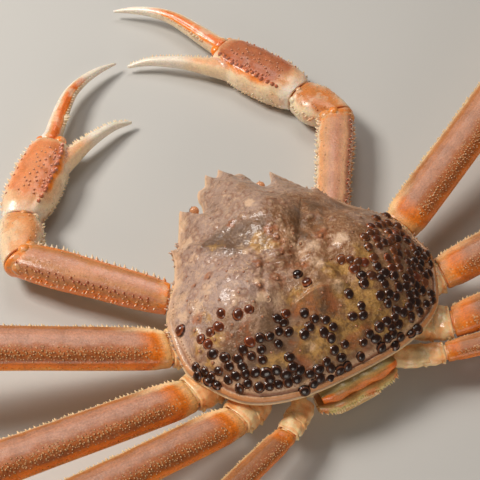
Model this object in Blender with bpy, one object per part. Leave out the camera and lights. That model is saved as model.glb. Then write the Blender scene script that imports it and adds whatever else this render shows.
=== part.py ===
"""A snow crab at life size, lying on its belly with both claws open.

Metres, +Z up, +Y to the crab's front and +X to its right. The origin is on the floor,
under the flat face of the folded abdomen.
"""

import math

import bmesh
import bpy
from mathutils import Vector
from mathutils.bvhtree import BVHTree

# Driving sizes

CARAPACE_WIDTH = 0.138
GAP = 0.0003
UP = Vector((0.0, 0.0, 1.0))

# Carapace, in shares of its width: the round sides and the toothed front of the right half

SIDE_OUTLINE = [
    (0.000, -0.450), (0.220, -0.435), (0.385, -0.365), (0.480, -0.220),
    (0.500, -0.130), (0.465, 0.050), (0.375, 0.180), (0.328, 0.265),
]
FRONT_OUTLINE = [
    (0.318, 0.318), (0.290, 0.310), (0.245, 0.385), (0.200, 0.462), (0.172, 0.400),
    (0.125, 0.400), (0.105, 0.470), (0.088, 0.505), (0.055, 0.515), (0.028, 0.565),
    (0.012, 0.540),
]
NOTCH = (0.0, 0.530)
SIDE_STEPS = 2
SHELL_RINGS = [1.0, 0.95, 0.88, 0.78, 0.66, 0.52, 0.36, 0.19]
UNDER_RINGS = [(0.965, 0.0030), (0.86, None)]

RIM_HEIGHT = 0.0275
SNOUT_RISE = 0.0015
SHELL_TOP = 0.0545
SHELL_UNDERSIDE = 0.0243

# Swellings and grooves of the shell: place and spread in shares of the width, height in metres

MIDDLE_RELIEF = [
    (0.00, 0.17, 0.12, 0.12, 0.0030), (0.00, -0.19, 0.07, 0.09, 0.0024),
    (0.00, -0.34, 0.09, 0.05, 0.0012), (0.00, -0.03, 0.05, 0.03, -0.0012),
]
PAIRED_RELIEF = [
    (0.27, -0.14, 0.14, 0.18, 0.0044), (0.27, 0.17, 0.07, 0.07, 0.0014),
    (0.13, 0.03, 0.05, 0.06, -0.0022), (0.105, -0.13, 0.032, 0.10, -0.0026),
]

# Spines of the shell's edge: nearest and farthest place along Y in shares, and their sizes
EDGE_SPINE_SPAN = (-0.26, 0.25)
EDGE_SPINE = {"length": 0.0026, "radius": 0.0012, "sink": 0.0035}

# Tubercles of the shell in shares of its width, on the middle line and in pairs
MIDDLE_TUBERCLES = [0.40, 0.27, 0.13, 0.02, -0.20]
PAIRED_TUBERCLES = [
    (0.05, 0.33), (0.10, 0.20), (0.17, 0.29), (0.18, 0.12), (0.25, 0.21), (0.26, 0.05),
    (0.33, 0.12), (0.35, 0.00), (0.42, 0.03), (0.20, -0.05), (0.10, -0.05), (0.28, -0.06),
    (0.38, -0.10), (0.45, -0.10), (0.13, -0.15), (0.21, -0.17), (0.35, -0.20), (0.44, -0.22),
]
TUBERCLE = {"length": 0.0013, "radius": 0.0019, "sink": 0.0012}

# Egg cases that leeches have laid on the shell, in chains, in shares of its width
EGG_CHAINS = [
    [(-0.45, -0.02)], [(-0.33, -0.10)], [(-0.29, -0.15), (-0.25, -0.15)], [(-0.36, -0.13), (-0.42, -0.11)],
    [(-0.41, -0.17), (-0.39, -0.22)], [(-0.47, -0.18), (-0.44, -0.27)],
    [(-0.42, -0.24), (-0.35, -0.27), (-0.29, -0.30)], [(-0.41, -0.28), (-0.38, -0.29)],
    [(-0.39, -0.32), (-0.36, -0.33)], [(-0.33, -0.32), (-0.26, -0.35), (-0.20, -0.37)],
    [(-0.33, -0.36), (-0.26, -0.385), (-0.21, -0.40)], [(-0.20, -0.33)], [(-0.20, -0.425), (-0.11, -0.435)],
    [(-0.13, -0.40), (-0.10, -0.38), (-0.07, -0.42), (-0.02, -0.42)],
    [(-0.33, -0.24), (-0.30, -0.22), (-0.23, -0.25), (-0.17, -0.24), (-0.14, -0.20)], [(-0.28, -0.27)],
    [(-0.22, -0.29), (-0.17, -0.28)],
    [(-0.09, -0.24), (-0.03, -0.29), (-0.05, -0.35), (-0.01, -0.37)], [(-0.10, -0.29), (-0.13, -0.31)],
    [(-0.04, -0.11)], [(-0.03, -0.15)],
    [(0.12, -0.13), (0.19, -0.17), (0.32, -0.19)], [(0.31, -0.05), (0.38, 0.01), (0.43, 0.00)],
    [(0.24, -0.13), (0.28, -0.10)], [(0.37, -0.09), (0.43, -0.11), (0.44, -0.16)], [(0.14, -0.19), (0.15, -0.25)],
    [(0.19, -0.23), (0.26, -0.22)], [(0.39, -0.19), (0.46, -0.20), (0.43, -0.24)],
    [(0.22, -0.27), (0.27, -0.25), (0.38, -0.27)], [(0.18, -0.31), (0.26, -0.29), (0.31, -0.30)],
    [(0.20, -0.34), (0.26, -0.37), (0.34, -0.36), (0.39, -0.32)], [(0.29, -0.33), (0.36, -0.31)],
    [(0.08, -0.25)], [(0.10, -0.30), (0.05, -0.31)], [(0.09, -0.34)],
    [(0.18, -0.38), (0.15, -0.41), (0.17, -0.425)], [(0.22, -0.41), (0.28, -0.40)],
    [(0.06, -0.38), (0.11, -0.41)], [(0.03, -0.42)],
]
EGG_RADIUS = 0.0025
EGG_STEP = 0.0050
EGG_SPACING = 0.0066
EGG_STAND = 0.0004

# Thorax: place along Y, half widths at the top, at the leg bases and at the breastbone

THORAX_TOP = 0.0240
THORAX_MIDDLE = 0.0120
THORAX_RINGS = [
    (-0.0575, 0.020, 0.017, 0.010), (-0.050, 0.033, 0.029, 0.020),
    (-0.035, 0.045, 0.037, 0.029), (-0.015, 0.047, 0.039, 0.031),
    (-0.002, 0.043, 0.035, 0.027), (0.008, 0.034, 0.026, 0.020),
    (0.020, 0.028, 0.020, 0.015),
]
MOUTH_FOOT = 0.032
MOUTH_LEAN = 0.92
MOUTH_HALF_WIDTHS = (0.023, 0.017, 0.012)

# Abdomen: the band behind the shell and the flap folded under the body

ABDOMEN_BAND_Y = -0.0637
ABDOMEN_BAND_Z = 0.0155
ABDOMEN_BAND = [(-0.0190, 0.0030, 0.0040), (-0.0130, 0.0050, 0.0066), (0.0, 0.0057, 0.0075),
                (0.0130, 0.0050, 0.0066), (0.0190, 0.0030, 0.0040)]
FLAP_STATIONS = [
    (-0.0660, 0.0050, 0.0125, 0.0024), (-0.0580, 0.0030, 0.0160, 0.0028),
    (-0.0400, 0.0024, 0.0145, 0.0026), (-0.0150, 0.0024, 0.0110, 0.0026),
    (0.0060, 0.0024, 0.0070, 0.0026), (0.0120, 0.0022, 0.0030, 0.0024),
]
FLAP_CLEARANCE = 0.0005
ABDOMEN_FRINGE = {"count": 9, "length": 0.0022, "radius": 0.0011, "sink": 0.0020}

# Walking legs: lengths and width of the merus in shares of the carapace width

LEG_SHARES = {
    1: {"merus": 0.98, "carpus": 0.37, "propodus": 0.64, "dactyl": 0.44, "width": 0.168},
    2: {"merus": 1.05, "carpus": 0.38, "propodus": 0.66, "dactyl": 0.45, "width": 0.152},
    3: {"merus": 0.90, "carpus": 0.34, "propodus": 0.58, "dactyl": 0.41, "width": 0.138},
    4: {"merus": 0.55, "carpus": 0.20, "propodus": 0.35, "dactyl": 0.26, "width": 0.086},
}
LEG_THICKNESS = 0.56
LEG_RISE = 10.0
CARPUS_DROP = 7.0
ANKLE_HEIGHT = 0.0140
TIP_HEIGHT = 0.0009
TIP_RUN = 0.0060
# Joint at the body, then for each side the base of the merus and its azimuth from the front
LEG_PLACES = {
    1: {"body": (0.0430, -0.0030, 0.0115), "left": (-0.0693, -0.0036, 66.0),
        "right": (0.0687, 0.0039, 66.5), "height": 0.0195, "turn": -4.0},
    2: {"body": (0.0455, -0.0240, 0.0115), "left": (-0.0720, -0.0297, 88.5),
        "right": (0.0700, -0.0320, 93.0), "height": 0.0195, "turn": -1.0},
    3: {"body": (0.0420, -0.0430, 0.0115), "left": (-0.0610, -0.0540, 94.0),
        "right": (0.0585, -0.0580, 101.0), "height": 0.0185, "turn": 3.0},
    4: {"body": (0.0290, -0.0565, 0.0115), "left": (-0.0416, -0.0697, 110.2),
        "right": (0.0466, -0.0692, 110.0), "height": 0.0160, "turn": 6.0},
}
# Share of the segment's length, then of the leg's half width and half thickness
COXA_SHAPE = [(0.0, 0.62, 0.98), (0.35, 0.70, 0.96), (0.75, 0.60, 0.80), (1.0, 0.66, 0.80)]
MERUS_SHAPE = [(0.0, 0.66, 0.80), (0.10, 0.80, 0.92), (0.45, 1.0, 1.0), (0.86, 0.98, 0.96),
               (1.0, 0.78, 0.82)]
CARPUS_SHAPE = [(0.0, 0.78, 0.82), (0.25, 0.86, 0.92), (0.80, 0.90, 0.92), (1.0, 0.70, 0.76)]
PROPODUS_SHAPE = [(0.0, 0.70, 0.76), (0.14, 0.74, 0.82), (0.60, 0.66, 0.72), (1.0, 0.44, 0.52)]
DACTYL_SHAPE = [(0.0, 0.44, 0.52), (0.12, 0.38, 0.46), (0.50, 0.27, 0.34), (0.80, 0.17, 0.22)]
LEG_TIP_RADIUS = 0.0011
# Rows of spines: angle round the limb from its rear margin, count, first and last share
MERUS_ROWS = [(0, 7, 0.10, 0.92), (180, 7, 0.10, 0.92), (72, 4, 0.16, 0.86), (108, 4, 0.24, 0.92)]
CARPUS_ROWS = [(0, 2, 0.35, 0.70), (180, 2, 0.35, 0.70), (108, 2, 0.30, 0.75)]
PROPODUS_ROWS = [(0, 5, 0.12, 0.85), (180, 5, 0.12, 0.85)]
LEG_SPINE = {"length": 0.14, "radius": 0.080, "sink": 0.175}
SPINE_LEAN = 0.35
SMOOTH_LEG = 4

# Claw arms: joints of each side, and the palm and fingers in the claw's own directions

ARM_JOINTS = {
    "left": {"body": (-0.0330, 0.0140, 0.0115), "base": (-0.0540, 0.0210, 0.0175),
             "elbow": (-0.1070, 0.0825, 0.0150), "wrist": (-0.0964, 0.1122, 0.0098),
             "heading": 40.9, "scale": 0.97},
    "right": {"body": (0.0330, 0.0140, 0.0115), "base": (0.0400, 0.0250, 0.0150),
              "elbow": (0.0860, 0.0910, 0.0125), "wrist": (0.0802, 0.1175, 0.0098),
              "heading": -19.7, "scale": 1.02},
}
ARM_COXA = [(0.0, 0.0070, 0.0068), (0.40, 0.0074, 0.0070), (1.0, 0.0064, 0.0062)]
ARM_MERUS = [(0.0, 0.0064, 0.0062), (0.10, 0.0078, 0.0070), (0.45, 0.0090, 0.0080),
             (0.86, 0.0094, 0.0082), (1.0, 0.0084, 0.0076)]
ARM_CARPUS = [(0.0, 0.0084, 0.0076), (0.36, 0.0106, 0.0086), (0.70, 0.0112, 0.0088),
              (1.0, 0.0090, 0.0076)]
# Along the palm, across it toward the moving finger, height over the wrist, half sizes
PALM = [(0.0, 0.0, 0.0, 0.0090, 0.0076), (0.008, 0.0004, 0.0, 0.0120, 0.0088),
        (0.024, -0.0005, 0.0, 0.0134, 0.0094), (0.043, -0.0015, 0.0, 0.0130, 0.0092),
        (0.057, -0.0008, 0.0, 0.0106, 0.0078)]
FIXED_FINGER = [(0.038, -0.0070, 0.0, 0.0066, 0.0066), (0.050, -0.0125, -0.0002, 0.0064, 0.0060),
                (0.060, -0.0178, -0.0006, 0.0052, 0.0050), (0.070, -0.0245, -0.0014, 0.0040, 0.0040),
                (0.079, -0.0320, -0.0030, 0.0027, 0.0028), (0.086, -0.0415, -0.0056, 0.0009, 0.0010)]
MOVING_FINGER = [(0.0573, 0.0024, 0.0, 0.0070, 0.0066), (0.063, 0.0022, 0.0002, 0.0069, 0.0064),
                 (0.073, 0.0016, 0.0004, 0.0060, 0.0056), (0.086, 0.0015, 0.0004, 0.0049, 0.0048),
                 (0.099, 0.0002, 0.0, 0.0040, 0.0040), (0.111, -0.0040, -0.0010, 0.0030, 0.0031),
                 (0.122, -0.0105, -0.0026, 0.0020, 0.0021), (0.130, -0.0172, -0.0044, 0.0008, 0.0009)]

ARM_ROWS = {
    "merus": [(0, 7, 0.10, 0.92), (180, 7, 0.10, 0.92), (72, 4, 0.15, 0.88), (108, 3, 0.25, 0.80)],
    "carpus": [(0, 2, 0.35, 0.70), (180, 2, 0.35, 0.70), (72, 2, 0.30, 0.72), (108, 2, 0.42, 0.80)],
}
PALM_ROWS = [(0, 8, 0.08, 0.94), (30, 5, 0.16, 0.80), (60, 4, 0.24, 0.86), (120, 6, 0.20, 0.88),
             (180, 5, 0.12, 0.70)]
ARM_SPINE = {"length": 0.0017, "radius": 0.0010, "sink": 0.0022}
TOOTH_ROW = (8, 0.10, 0.86)
FIXED_TOOTH_ROW = (7, 0.34, 0.92)
TOOTH = {"length": 0.0012, "radius": 0.0011, "sink": 0.0010}

# Eyes, antennae and mouth plates

EYE = {"root": (0.0190, 0.0502, 0.0190), "neck": (0.0200, 0.0560, 0.0230),
       "ball": (0.0208, 0.0590, 0.0272), "stalk_radius": 0.0018, "radius": 0.0032}
ANTENNA = [((0.0095, 0.0522, 0.0217), 0.0018), ((0.0112, 0.0580, 0.0222), 0.0018),
           ((0.0122, 0.0610, 0.0218), 0.0010), ((0.0160, 0.0668, 0.0180), 0.0006),
           ((0.0185, 0.0690, 0.0135), 0.0004)]
MOUTH_PLATE = [(0.0045, 0.0040), (0.0065, 0.0052), (0.0120, 0.0056), (0.0160, 0.0050), (0.0185, 0.0038)]
MOUTH_PLATE_THICKNESS = 0.0034
MOUTH_PLATE_X = 0.0062

# Colours and roughness

FINISHES = {
    "shell": ((0.36, 0.25, 0.20), 0.25),
    "belly": ((0.80, 0.66, 0.48), 0.40),
    "leg": ((0.56, 0.30, 0.20), 0.35),
    "claw": ((0.72, 0.33, 0.17), 0.35),
    "finger": ((0.80, 0.62, 0.46), 0.35),
    "mouth": ((0.72, 0.48, 0.32), 0.40),
    "eye": ((0.10, 0.04, 0.02), 0.10),
    "feeler": ((0.66, 0.36, 0.20), 0.40),
}


def finish(slot):
    """Material of one finish, made once."""
    known = bpy.data.materials.get(slot)
    if known:
        return known
    colour, roughness = FINISHES[slot]
    material = bpy.data.materials.new(slot)
    material.use_nodes = True
    shader = material.node_tree.nodes["Principled BSDF"]
    shader.inputs["Base Color"].default_value = (*colour, 1.0)
    shader.inputs["Roughness"].default_value = roughness
    return material


def to_object(name, shape, slot):
    """Object from a bmesh, with its faces pointing out and its finish."""
    bmesh.ops.recalc_face_normals(shape, faces=shape.faces)
    mesh = bpy.data.meshes.new(name)
    shape.to_mesh(mesh)
    shape.free()
    mesh.materials.append(finish(slot))
    body = bpy.data.objects.new(name, mesh)
    bpy.context.scene.collection.objects.link(body)
    return body


def loft(name, rings, slot, tip=None):
    """Closed solid through rings of equal count, capped flat or drawn to a tip."""
    shape = bmesh.new()
    loops = [[shape.verts.new(point) for point in ring] for ring in rings]
    for near, far in zip(loops, loops[1:]):
        for index in range(len(near)):
            after = (index + 1) % len(near)
            shape.faces.new((near[index], near[after], far[after], far[index]))
    shape.faces.new(loops[0])
    if tip is None:
        shape.faces.new(loops[-1])
    else:
        point = shape.verts.new(tip)
        for index in range(len(loops[-1])):
            shape.faces.new((loops[-1][index], loops[-1][(index + 1) % len(loops[-1])], point))
    return to_object(name, shape, slot)


def rounded(value, squareness):
    """A sine or cosine flattened so that a circle becomes a rounded box."""
    return math.copysign(abs(value) ** squareness, value)


def section_point(station, run, angle, squareness):
    """Point of a limb's section at an angle from the side on the right of its run."""
    centre, half_width, half_height = station
    side = run.cross(UP).normalized()
    top = side.cross(run)
    across = rounded(math.cos(angle), squareness) * half_width
    return centre + side * across + top * (rounded(math.sin(angle), squareness) * half_height)


def section(station, run, sides, squareness):
    """Ring of points round a limb, with a facet at each margin."""
    angles = [2.0 * math.pi * (index + 0.5) / sides for index in range(sides)]
    return [section_point(station, run, angle, squareness) for angle in angles]


def slide_to_plane(points, run, anchor, normal):
    """Move points along a run until they lie in the plane of a joint."""
    return [point + run * ((anchor - point).dot(normal) / run.dot(normal)) for point in points]


def tube_rings(stations, start_cut=None, end_cut=None, sides=10, squareness=0.8):
    """Rings through stations of (centre, half width, half height), none under the floor."""
    rings = []
    last = len(stations) - 1
    for index, station in enumerate(stations):
        run = (stations[min(index + 1, last)][0] - stations[max(index - 1, 0)][0]).normalized()
        points = section(station, run, sides, squareness)
        if index == 0 and start_cut:
            points = slide_to_plane(points, run, station[0], start_cut)
        if index == last and end_cut:
            points = slide_to_plane(points, run, station[0], end_cut)
        rings.append([Vector((point.x, point.y, max(point.z, 0.0))) for point in points])
    return rings


def straight_stations(start, end, shape, half_width=1.0, half_height=1.0):
    """Stations along a straight segment, from shares of its length and sizes."""
    return [(start.lerp(end, share), wide * half_width, high * half_height)
            for share, wide, high in shape]


def spine(root, out, sizes, slot, sides=4):
    """Tapered spine with its root sunk under the surface that it grows from."""
    side = out.orthogonal().normalized()
    other = out.cross(side)
    foot = root - out * sizes["sink"]
    ring = []
    for index in range(sides):
        angle = 2.0 * math.pi * index / sides
        ring.append(foot + (side * math.cos(angle) + other * math.sin(angle)) * sizes["radius"])
    return loft("spine", [ring], slot, tip=root + out * sizes["length"])


def on_tube(stations, share, angle, squareness=0.8):
    """Point on a tube at a share of its length and an angle round it, with its outward
    direction and the tube's run."""
    lengths = [(after[0] - before[0]).length for before, after in zip(stations, stations[1:])]
    left = share * sum(lengths)
    index = 0
    while index < len(lengths) - 1 and left > lengths[index]:
        left -= lengths[index]
        index += 1
    before, after = stations[index], stations[index + 1]
    part_way = left / lengths[index]
    centre = before[0].lerp(after[0], part_way)
    half_width = before[1] + (after[1] - before[1]) * part_way
    half_height = before[2] + (after[2] - before[2]) * part_way
    run = (after[0] - before[0]).normalized()
    side = run.cross(UP).normalized()
    top = side.cross(run)
    out = (side * (math.cos(angle) / half_width) + top * (math.sin(angle) / half_height)).normalized()
    return section_point((centre, half_width, half_height), run, angle, squareness), out, run


def spine_row(stations, row, sizes, slot, side="right"):
    """Spines along a limb: angle in degrees, count, first and last share of its length."""
    angle, count, first, last = row
    turned = math.radians(angle if side == "right" else 180 - angle)
    spines = []
    for index in range(count):
        share = first + (last - first) * index / max(count - 1, 1)
        point, out, run = on_tube(stations, share, turned)
        spines.append(spine(point, (out + run * SPINE_LEAN).normalized(), sizes, slot))
    return spines


def combine(body, pieces, operation="UNION"):
    """One Boolean of a body with closed pieces, applied, keeping its largest surface."""
    group = bpy.data.collections.new(body.name + "_pieces")
    bpy.context.scene.collection.children.link(group)
    for piece in pieces:
        bpy.context.scene.collection.objects.unlink(piece)
        group.objects.link(piece)
    boolean = body.modifiers.new("join", "BOOLEAN")
    boolean.operation = operation
    boolean.operand_type = "COLLECTION"
    boolean.collection = group
    boolean.solver = "EXACT"
    graph = bpy.context.evaluated_depsgraph_get()
    joined = bpy.data.meshes.new_from_object(body.evaluated_get(graph))
    body.modifiers.clear()
    body.data = joined
    for piece in pieces:
        bpy.data.objects.remove(piece)
    bpy.data.collections.remove(group)
    keep_largest_surface(body.data)
    return body


def keep_largest_surface(mesh):
    """Drop every separate surface of a mesh but the largest."""
    shape = bmesh.new()
    shape.from_mesh(mesh)
    left = set(shape.faces)
    surfaces = []
    while left:
        found = {left.pop()}
        edge_of_search = list(found)
        while edge_of_search:
            face = edge_of_search.pop()
            for edge in face.edges:
                for neighbour in edge.link_faces:
                    if neighbour in left:
                        left.remove(neighbour)
                        found.add(neighbour)
                        edge_of_search.append(neighbour)
        surfaces.append(found)
    largest = max(surfaces, key=len)
    bmesh.ops.delete(shape, geom=[face for face in shape.faces if face not in largest], context="FACES")
    shape.to_mesh(mesh)
    shape.free()


# Carapace


def catmull(points, steps):
    """Smooth curve through points, with equal steps between each two."""
    curve = []
    for index in range(len(points) - 1):
        before = points[max(index - 1, 0)]
        start, end = points[index], points[index + 1]
        after = points[min(index + 2, len(points) - 1)]
        for step in range(steps):
            t = step / steps
            curve.append(0.5 * ((2.0 * start) + (end - before) * t
                                + (2.0 * before - 5.0 * start + 4.0 * end - after) * t * t
                                + (3.0 * start - before - 3.0 * end + after) * t ** 3))
    curve.append(points[-1])
    return curve


def shell_outline():
    """Closed outline of the shell in metres, from the rear round the right side."""
    sides = catmull([Vector(point) for point in SIDE_OUTLINE], SIDE_STEPS)
    half = sides + [Vector(point) for point in FRONT_OUTLINE]
    whole = half + [Vector(NOTCH)] + [Vector((-point.x, point.y)) for point in reversed(half[1:])]
    return [point * CARAPACE_WIDTH for point in whole]


def relaxed(points, rounds=8):
    """The same outline with its teeth smoothed away."""
    for _ in range(rounds):
        points = [(points[index - 1] + points[index] * 2.0 + points[(index + 1) % len(points)]) * 0.25
                  for index in range(len(points))]
    return points


def rim_height(y):
    """Height of the shell's edge, which rises toward the snout."""
    share = min(max((y / CARAPACE_WIDTH - 0.28) / 0.28, 0.0), 1.0)
    return RIM_HEIGHT + SNOUT_RISE * share * share * (3.0 - 2.0 * share)


def relief(x, y):
    """Height that the swellings add to the shell at a place."""
    u = abs(x) / CARAPACE_WIDTH
    v = y / CARAPACE_WIDTH
    return sum(height * math.exp(-((u - at) / wide) ** 2 - ((v - along) / long) ** 2)
               for at, along, wide, long, height in MIDDLE_RELIEF + PAIRED_RELIEF)


def shell_point(edge, smooth, share):
    """Point of the shell's top at a share of the way from its middle to an edge point."""
    flat = smooth.lerp(edge, share ** 6) * share
    rim = rim_height(edge.y * share)
    dome = 1.0 - share ** 2.5
    height = rim + (SHELL_TOP - rim) * dome + relief(flat.x, flat.y) * (1.0 - share ** 6)
    return Vector((flat.x, flat.y, height))


def carapace():
    """The shell: a low dome with a toothed edge and a flat underside."""
    outline = shell_outline()
    smooth = relaxed(outline)
    rings = []
    for share, drop in reversed(UNDER_RINGS):
        ring = []
        for edge, inner in zip(outline, smooth):
            flat = inner.lerp(edge, share ** 6) * share
            height = SHELL_UNDERSIDE if drop is None else rim_height(edge.y) - drop
            ring.append(Vector((flat.x, flat.y, height)))
        rings.append(ring)
    for share in SHELL_RINGS:
        rings.append([shell_point(edge, inner, share) for edge, inner in zip(outline, smooth)])
    middle = Vector((0.0, 0.0, SHELL_TOP + relief(0.0, 0.0)))
    shell = loft("carapace", rings, "shell", tip=middle)
    eggs, knobs = shell_growths(shell)
    return combine(shell, edge_spines(outline) + eggs + knobs)


def edge_spines(outline):
    """Short spines along both sides of the shell's edge, leaning forward."""
    spines = []
    low, high = (share * CARAPACE_WIDTH for share in EDGE_SPINE_SPAN)
    for index, place in enumerate(outline):
        run = outline[(index + 1) % len(outline)] - outline[index - 1]
        if low < place.y < high:
            out = Vector((run.y, -run.x, 0.0)).normalized()
            lean = Vector((0.0, 0.5, 0.15))
            root = Vector((place.x, place.y, rim_height(place.y) - 0.0008))
            spines.append(spine(root, (out + lean).normalized(), EDGE_SPINE, "shell"))
    return spines


def egg_places():
    """Places of the egg cases in metres, spread along their chains."""
    places = []
    for chain in EGG_CHAINS:
        points = [Vector(point) * CARAPACE_WIDTH for point in chain]
        steps = [points[0]]
        for start, end in zip(points, points[1:]):
            count = max(round((end - start).length / EGG_STEP), 1)
            steps += [start.lerp(end, (index + 1) / count) for index in range(count)]
        for step in steps:
            if all((step - other).length > EGG_SPACING for other in places):
                places.append(step)
    return places


def shell_growths(shell):
    """Egg cases and tubercles, each set on the shell under its place."""
    shape = bmesh.new()
    shape.from_mesh(shell.data)
    tree = BVHTree.FromBMesh(shape)
    shape.free()
    above = 0.1
    eggs = []
    places = egg_places()
    for place in places:
        spot, normal, _, _ = tree.ray_cast(Vector((place.x, place.y, above)), -UP)
        ball = bmesh.new()
        bmesh.ops.create_uvsphere(ball, u_segments=6, v_segments=5, radius=EGG_RADIUS)
        turn = normal.to_track_quat("Z", "Y").to_matrix()
        bmesh.ops.rotate(ball, verts=ball.verts, matrix=turn)
        bmesh.ops.translate(ball, verts=ball.verts, vec=spot + normal * EGG_STAND)
        eggs.append(to_object("egg_case", ball, "shell"))
    knobs = []
    spots = [(0.0, y) for y in MIDDLE_TUBERCLES]
    spots += [(x * turn, y) for x, y in PAIRED_TUBERCLES for turn in (1.0, -1.0)]
    for spot in spots:
        place = Vector(spot) * CARAPACE_WIDTH
        if all((place - other).length > EGG_RADIUS + TUBERCLE["radius"] for other in places):
            root, normal, _, _ = tree.ray_cast(Vector((place.x, place.y, above)), -UP)
            knobs.append(spine(root, normal, TUBERCLE, "shell", sides=5))
    return eggs, knobs


# Body under the shell


def thorax_ring(ys, half_widths, foot):
    """Ring of the thorax, from its top corner down one side and up the other."""
    heights = (THORAX_TOP, THORAX_MIDDLE, 0.0022)
    right = [Vector((wide, y, height)) for wide, y, height in zip(half_widths, ys, heights)]
    right.append(Vector((half_widths[2] * 0.86, foot, 0.0)))
    return right + [Vector((-point.x, point.y, point.z)) for point in reversed(right)]


def mouth_y(z):
    """Place along Y of the sloping front of the thorax at a height."""
    return MOUTH_FOOT + z * MOUTH_LEAN


def thorax(sockets):
    """The thorax with a socket for each limb and a bed for the folded abdomen."""
    rings = [thorax_ring((y, y, y), sizes, y) for y, *sizes in THORAX_RINGS]
    heights = (THORAX_TOP, THORAX_MIDDLE, 0.0022)
    rings.append(thorax_ring([mouth_y(z) for z in heights], MOUTH_HALF_WIDTHS, mouth_y(0.0)))
    body = loft("thorax", rings, "belly")
    bed = [(Vector((0.0, y, z)), wide + FLAP_CLEARANCE, high + FLAP_CLEARANCE)
           for y, z, wide, high in FLAP_STATIONS]
    bed[0] = (bed[0][0] - Vector((0.0, 0.004, 0.0)), *bed[0][1:])
    bed[-1] = (bed[-1][0] + Vector((0.0, FLAP_CLEARANCE, 0.0)), *bed[-1][1:])
    cutter = loft("bed", sunk(tube_rings(bed, squareness=0.5)), "belly")
    combine(body, [cutter], "DIFFERENCE")
    return combine(body, sockets)


def sunk(rings):
    """Rings with the points on the floor moved below it, for a cutter."""
    depth = 0.002
    return [[point - UP * depth if point.z < GAP else point for point in ring] for ring in rings]


def abdomen_band():
    """First rings of the abdomen, seen behind the shell."""
    stations = [(Vector((x, ABDOMEN_BAND_Y, ABDOMEN_BAND_Z)), wide, high) for x, wide, high in ABDOMEN_BAND]
    band = loft("abdomen_base", tube_rings(stations), "mouth")
    fringe = []
    count = ABDOMEN_FRINGE["count"]
    for index in range(count):
        share = 0.12 + 0.76 * index / (count - 1)
        point, out, _ = on_tube(stations, share, math.radians(-36.0))
        fringe.append(spine(point, out, ABDOMEN_FRINGE, "mouth"))
    return combine(band, fringe)


def abdomen_flap():
    """The flap folded under the body, flat on the floor."""
    stations = [(Vector((0.0, y, z)), wide, high) for y, z, wide, high in FLAP_STATIONS]
    return loft("abdomen_flap", tube_rings(stations, squareness=0.5), "belly")


def mirrored(point, side):
    """A place given for the right side, on either side."""
    return Vector((point[0] if side == "right" else -point[0], point[1], point[2]))


def mouth_plate(side):
    """Outer mouth plate, flat against the sloping front of the thorax."""
    slope = Vector((0.0, MOUTH_LEAN, 1.0)).normalized()
    out = Vector((0.0, slope.z, -slope.y))
    stations = []
    for z, half_width in MOUTH_PLATE:
        centre = mirrored((MOUTH_PLATE_X, mouth_y(z), z), side) + out * (MOUTH_PLATE_THICKNESS / 2.0 + GAP)
        stations.append((centre, half_width, MOUTH_PLATE_THICKNESS / 2.0))
    return loft("maxilliped_" + side, tube_rings(stations, slope, slope, squareness=0.5), "mouth")


def eye(side):
    """Eye on its short stalk in the notch of the shell."""
    root = mirrored(EYE["root"], side)
    neck = mirrored(EYE["neck"], side)
    ball = mirrored(EYE["ball"], side)
    radius = EYE["stalk_radius"]
    front = Vector((0.0, 1.0, -MOUTH_LEAN)).normalized()
    stations = [(root, radius, radius), (neck, radius, radius), (neck.lerp(ball, 0.6), radius, radius)]
    stalk = loft("eye_" + side, tube_rings(stations, front, sides=8, squareness=1.0), "eye")
    shape = bmesh.new()
    bmesh.ops.create_uvsphere(shape, u_segments=10, v_segments=6, radius=EYE["radius"])
    bmesh.ops.translate(shape, verts=shape.verts, vec=ball)
    return combine(stalk, [to_object("ball", shape, "eye")])


def antenna(side):
    """Short feeler under the edge of the snout."""
    front = Vector((0.0, 1.0, -MOUTH_LEAN)).normalized()
    stations = [(mirrored(point, side), radius, radius) for point, radius in ANTENNA]
    return loft("antenna_" + side, tube_rings(stations, front, sides=6, squareness=1.0), "feeler")


# Limbs


def heading(azimuth, pitch):
    """Direction at an azimuth from the front toward the right and a pitch above level."""
    turn, rise = math.radians(azimuth), math.radians(pitch)
    return Vector((math.sin(turn) * math.cos(rise), math.cos(turn) * math.cos(rise), math.sin(rise)))


def joint_normals(path):
    """Normal of the cut at each joint of a limb, halfway between its two segments."""
    runs = [(end - start).normalized() for start, end in zip(path, path[1:])]
    inner = [(before + after).normalized() for before, after in zip(runs, runs[1:])]
    return [runs[0]] + inner + [None]


def trimmed(start, end, start_normal, end_normal):
    """Ends of a segment drawn back from its joints by half the gap."""
    half = GAP / 2.0
    near = start + start_normal * half
    far = end - end_normal * half if end_normal else end
    return near, far


def socket(name, joint, run, half_width, half_height):
    """Stub that carries a limb, from inside the thorax to the limb's first joint."""
    depth = 0.012
    end = joint - run * (GAP / 2.0)
    stations = [(joint - run * depth, half_width * 0.9, half_height * 0.9), (end, half_width, half_height)]
    return loft(name, tube_rings(stations, end_cut=run), "belly")


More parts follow.
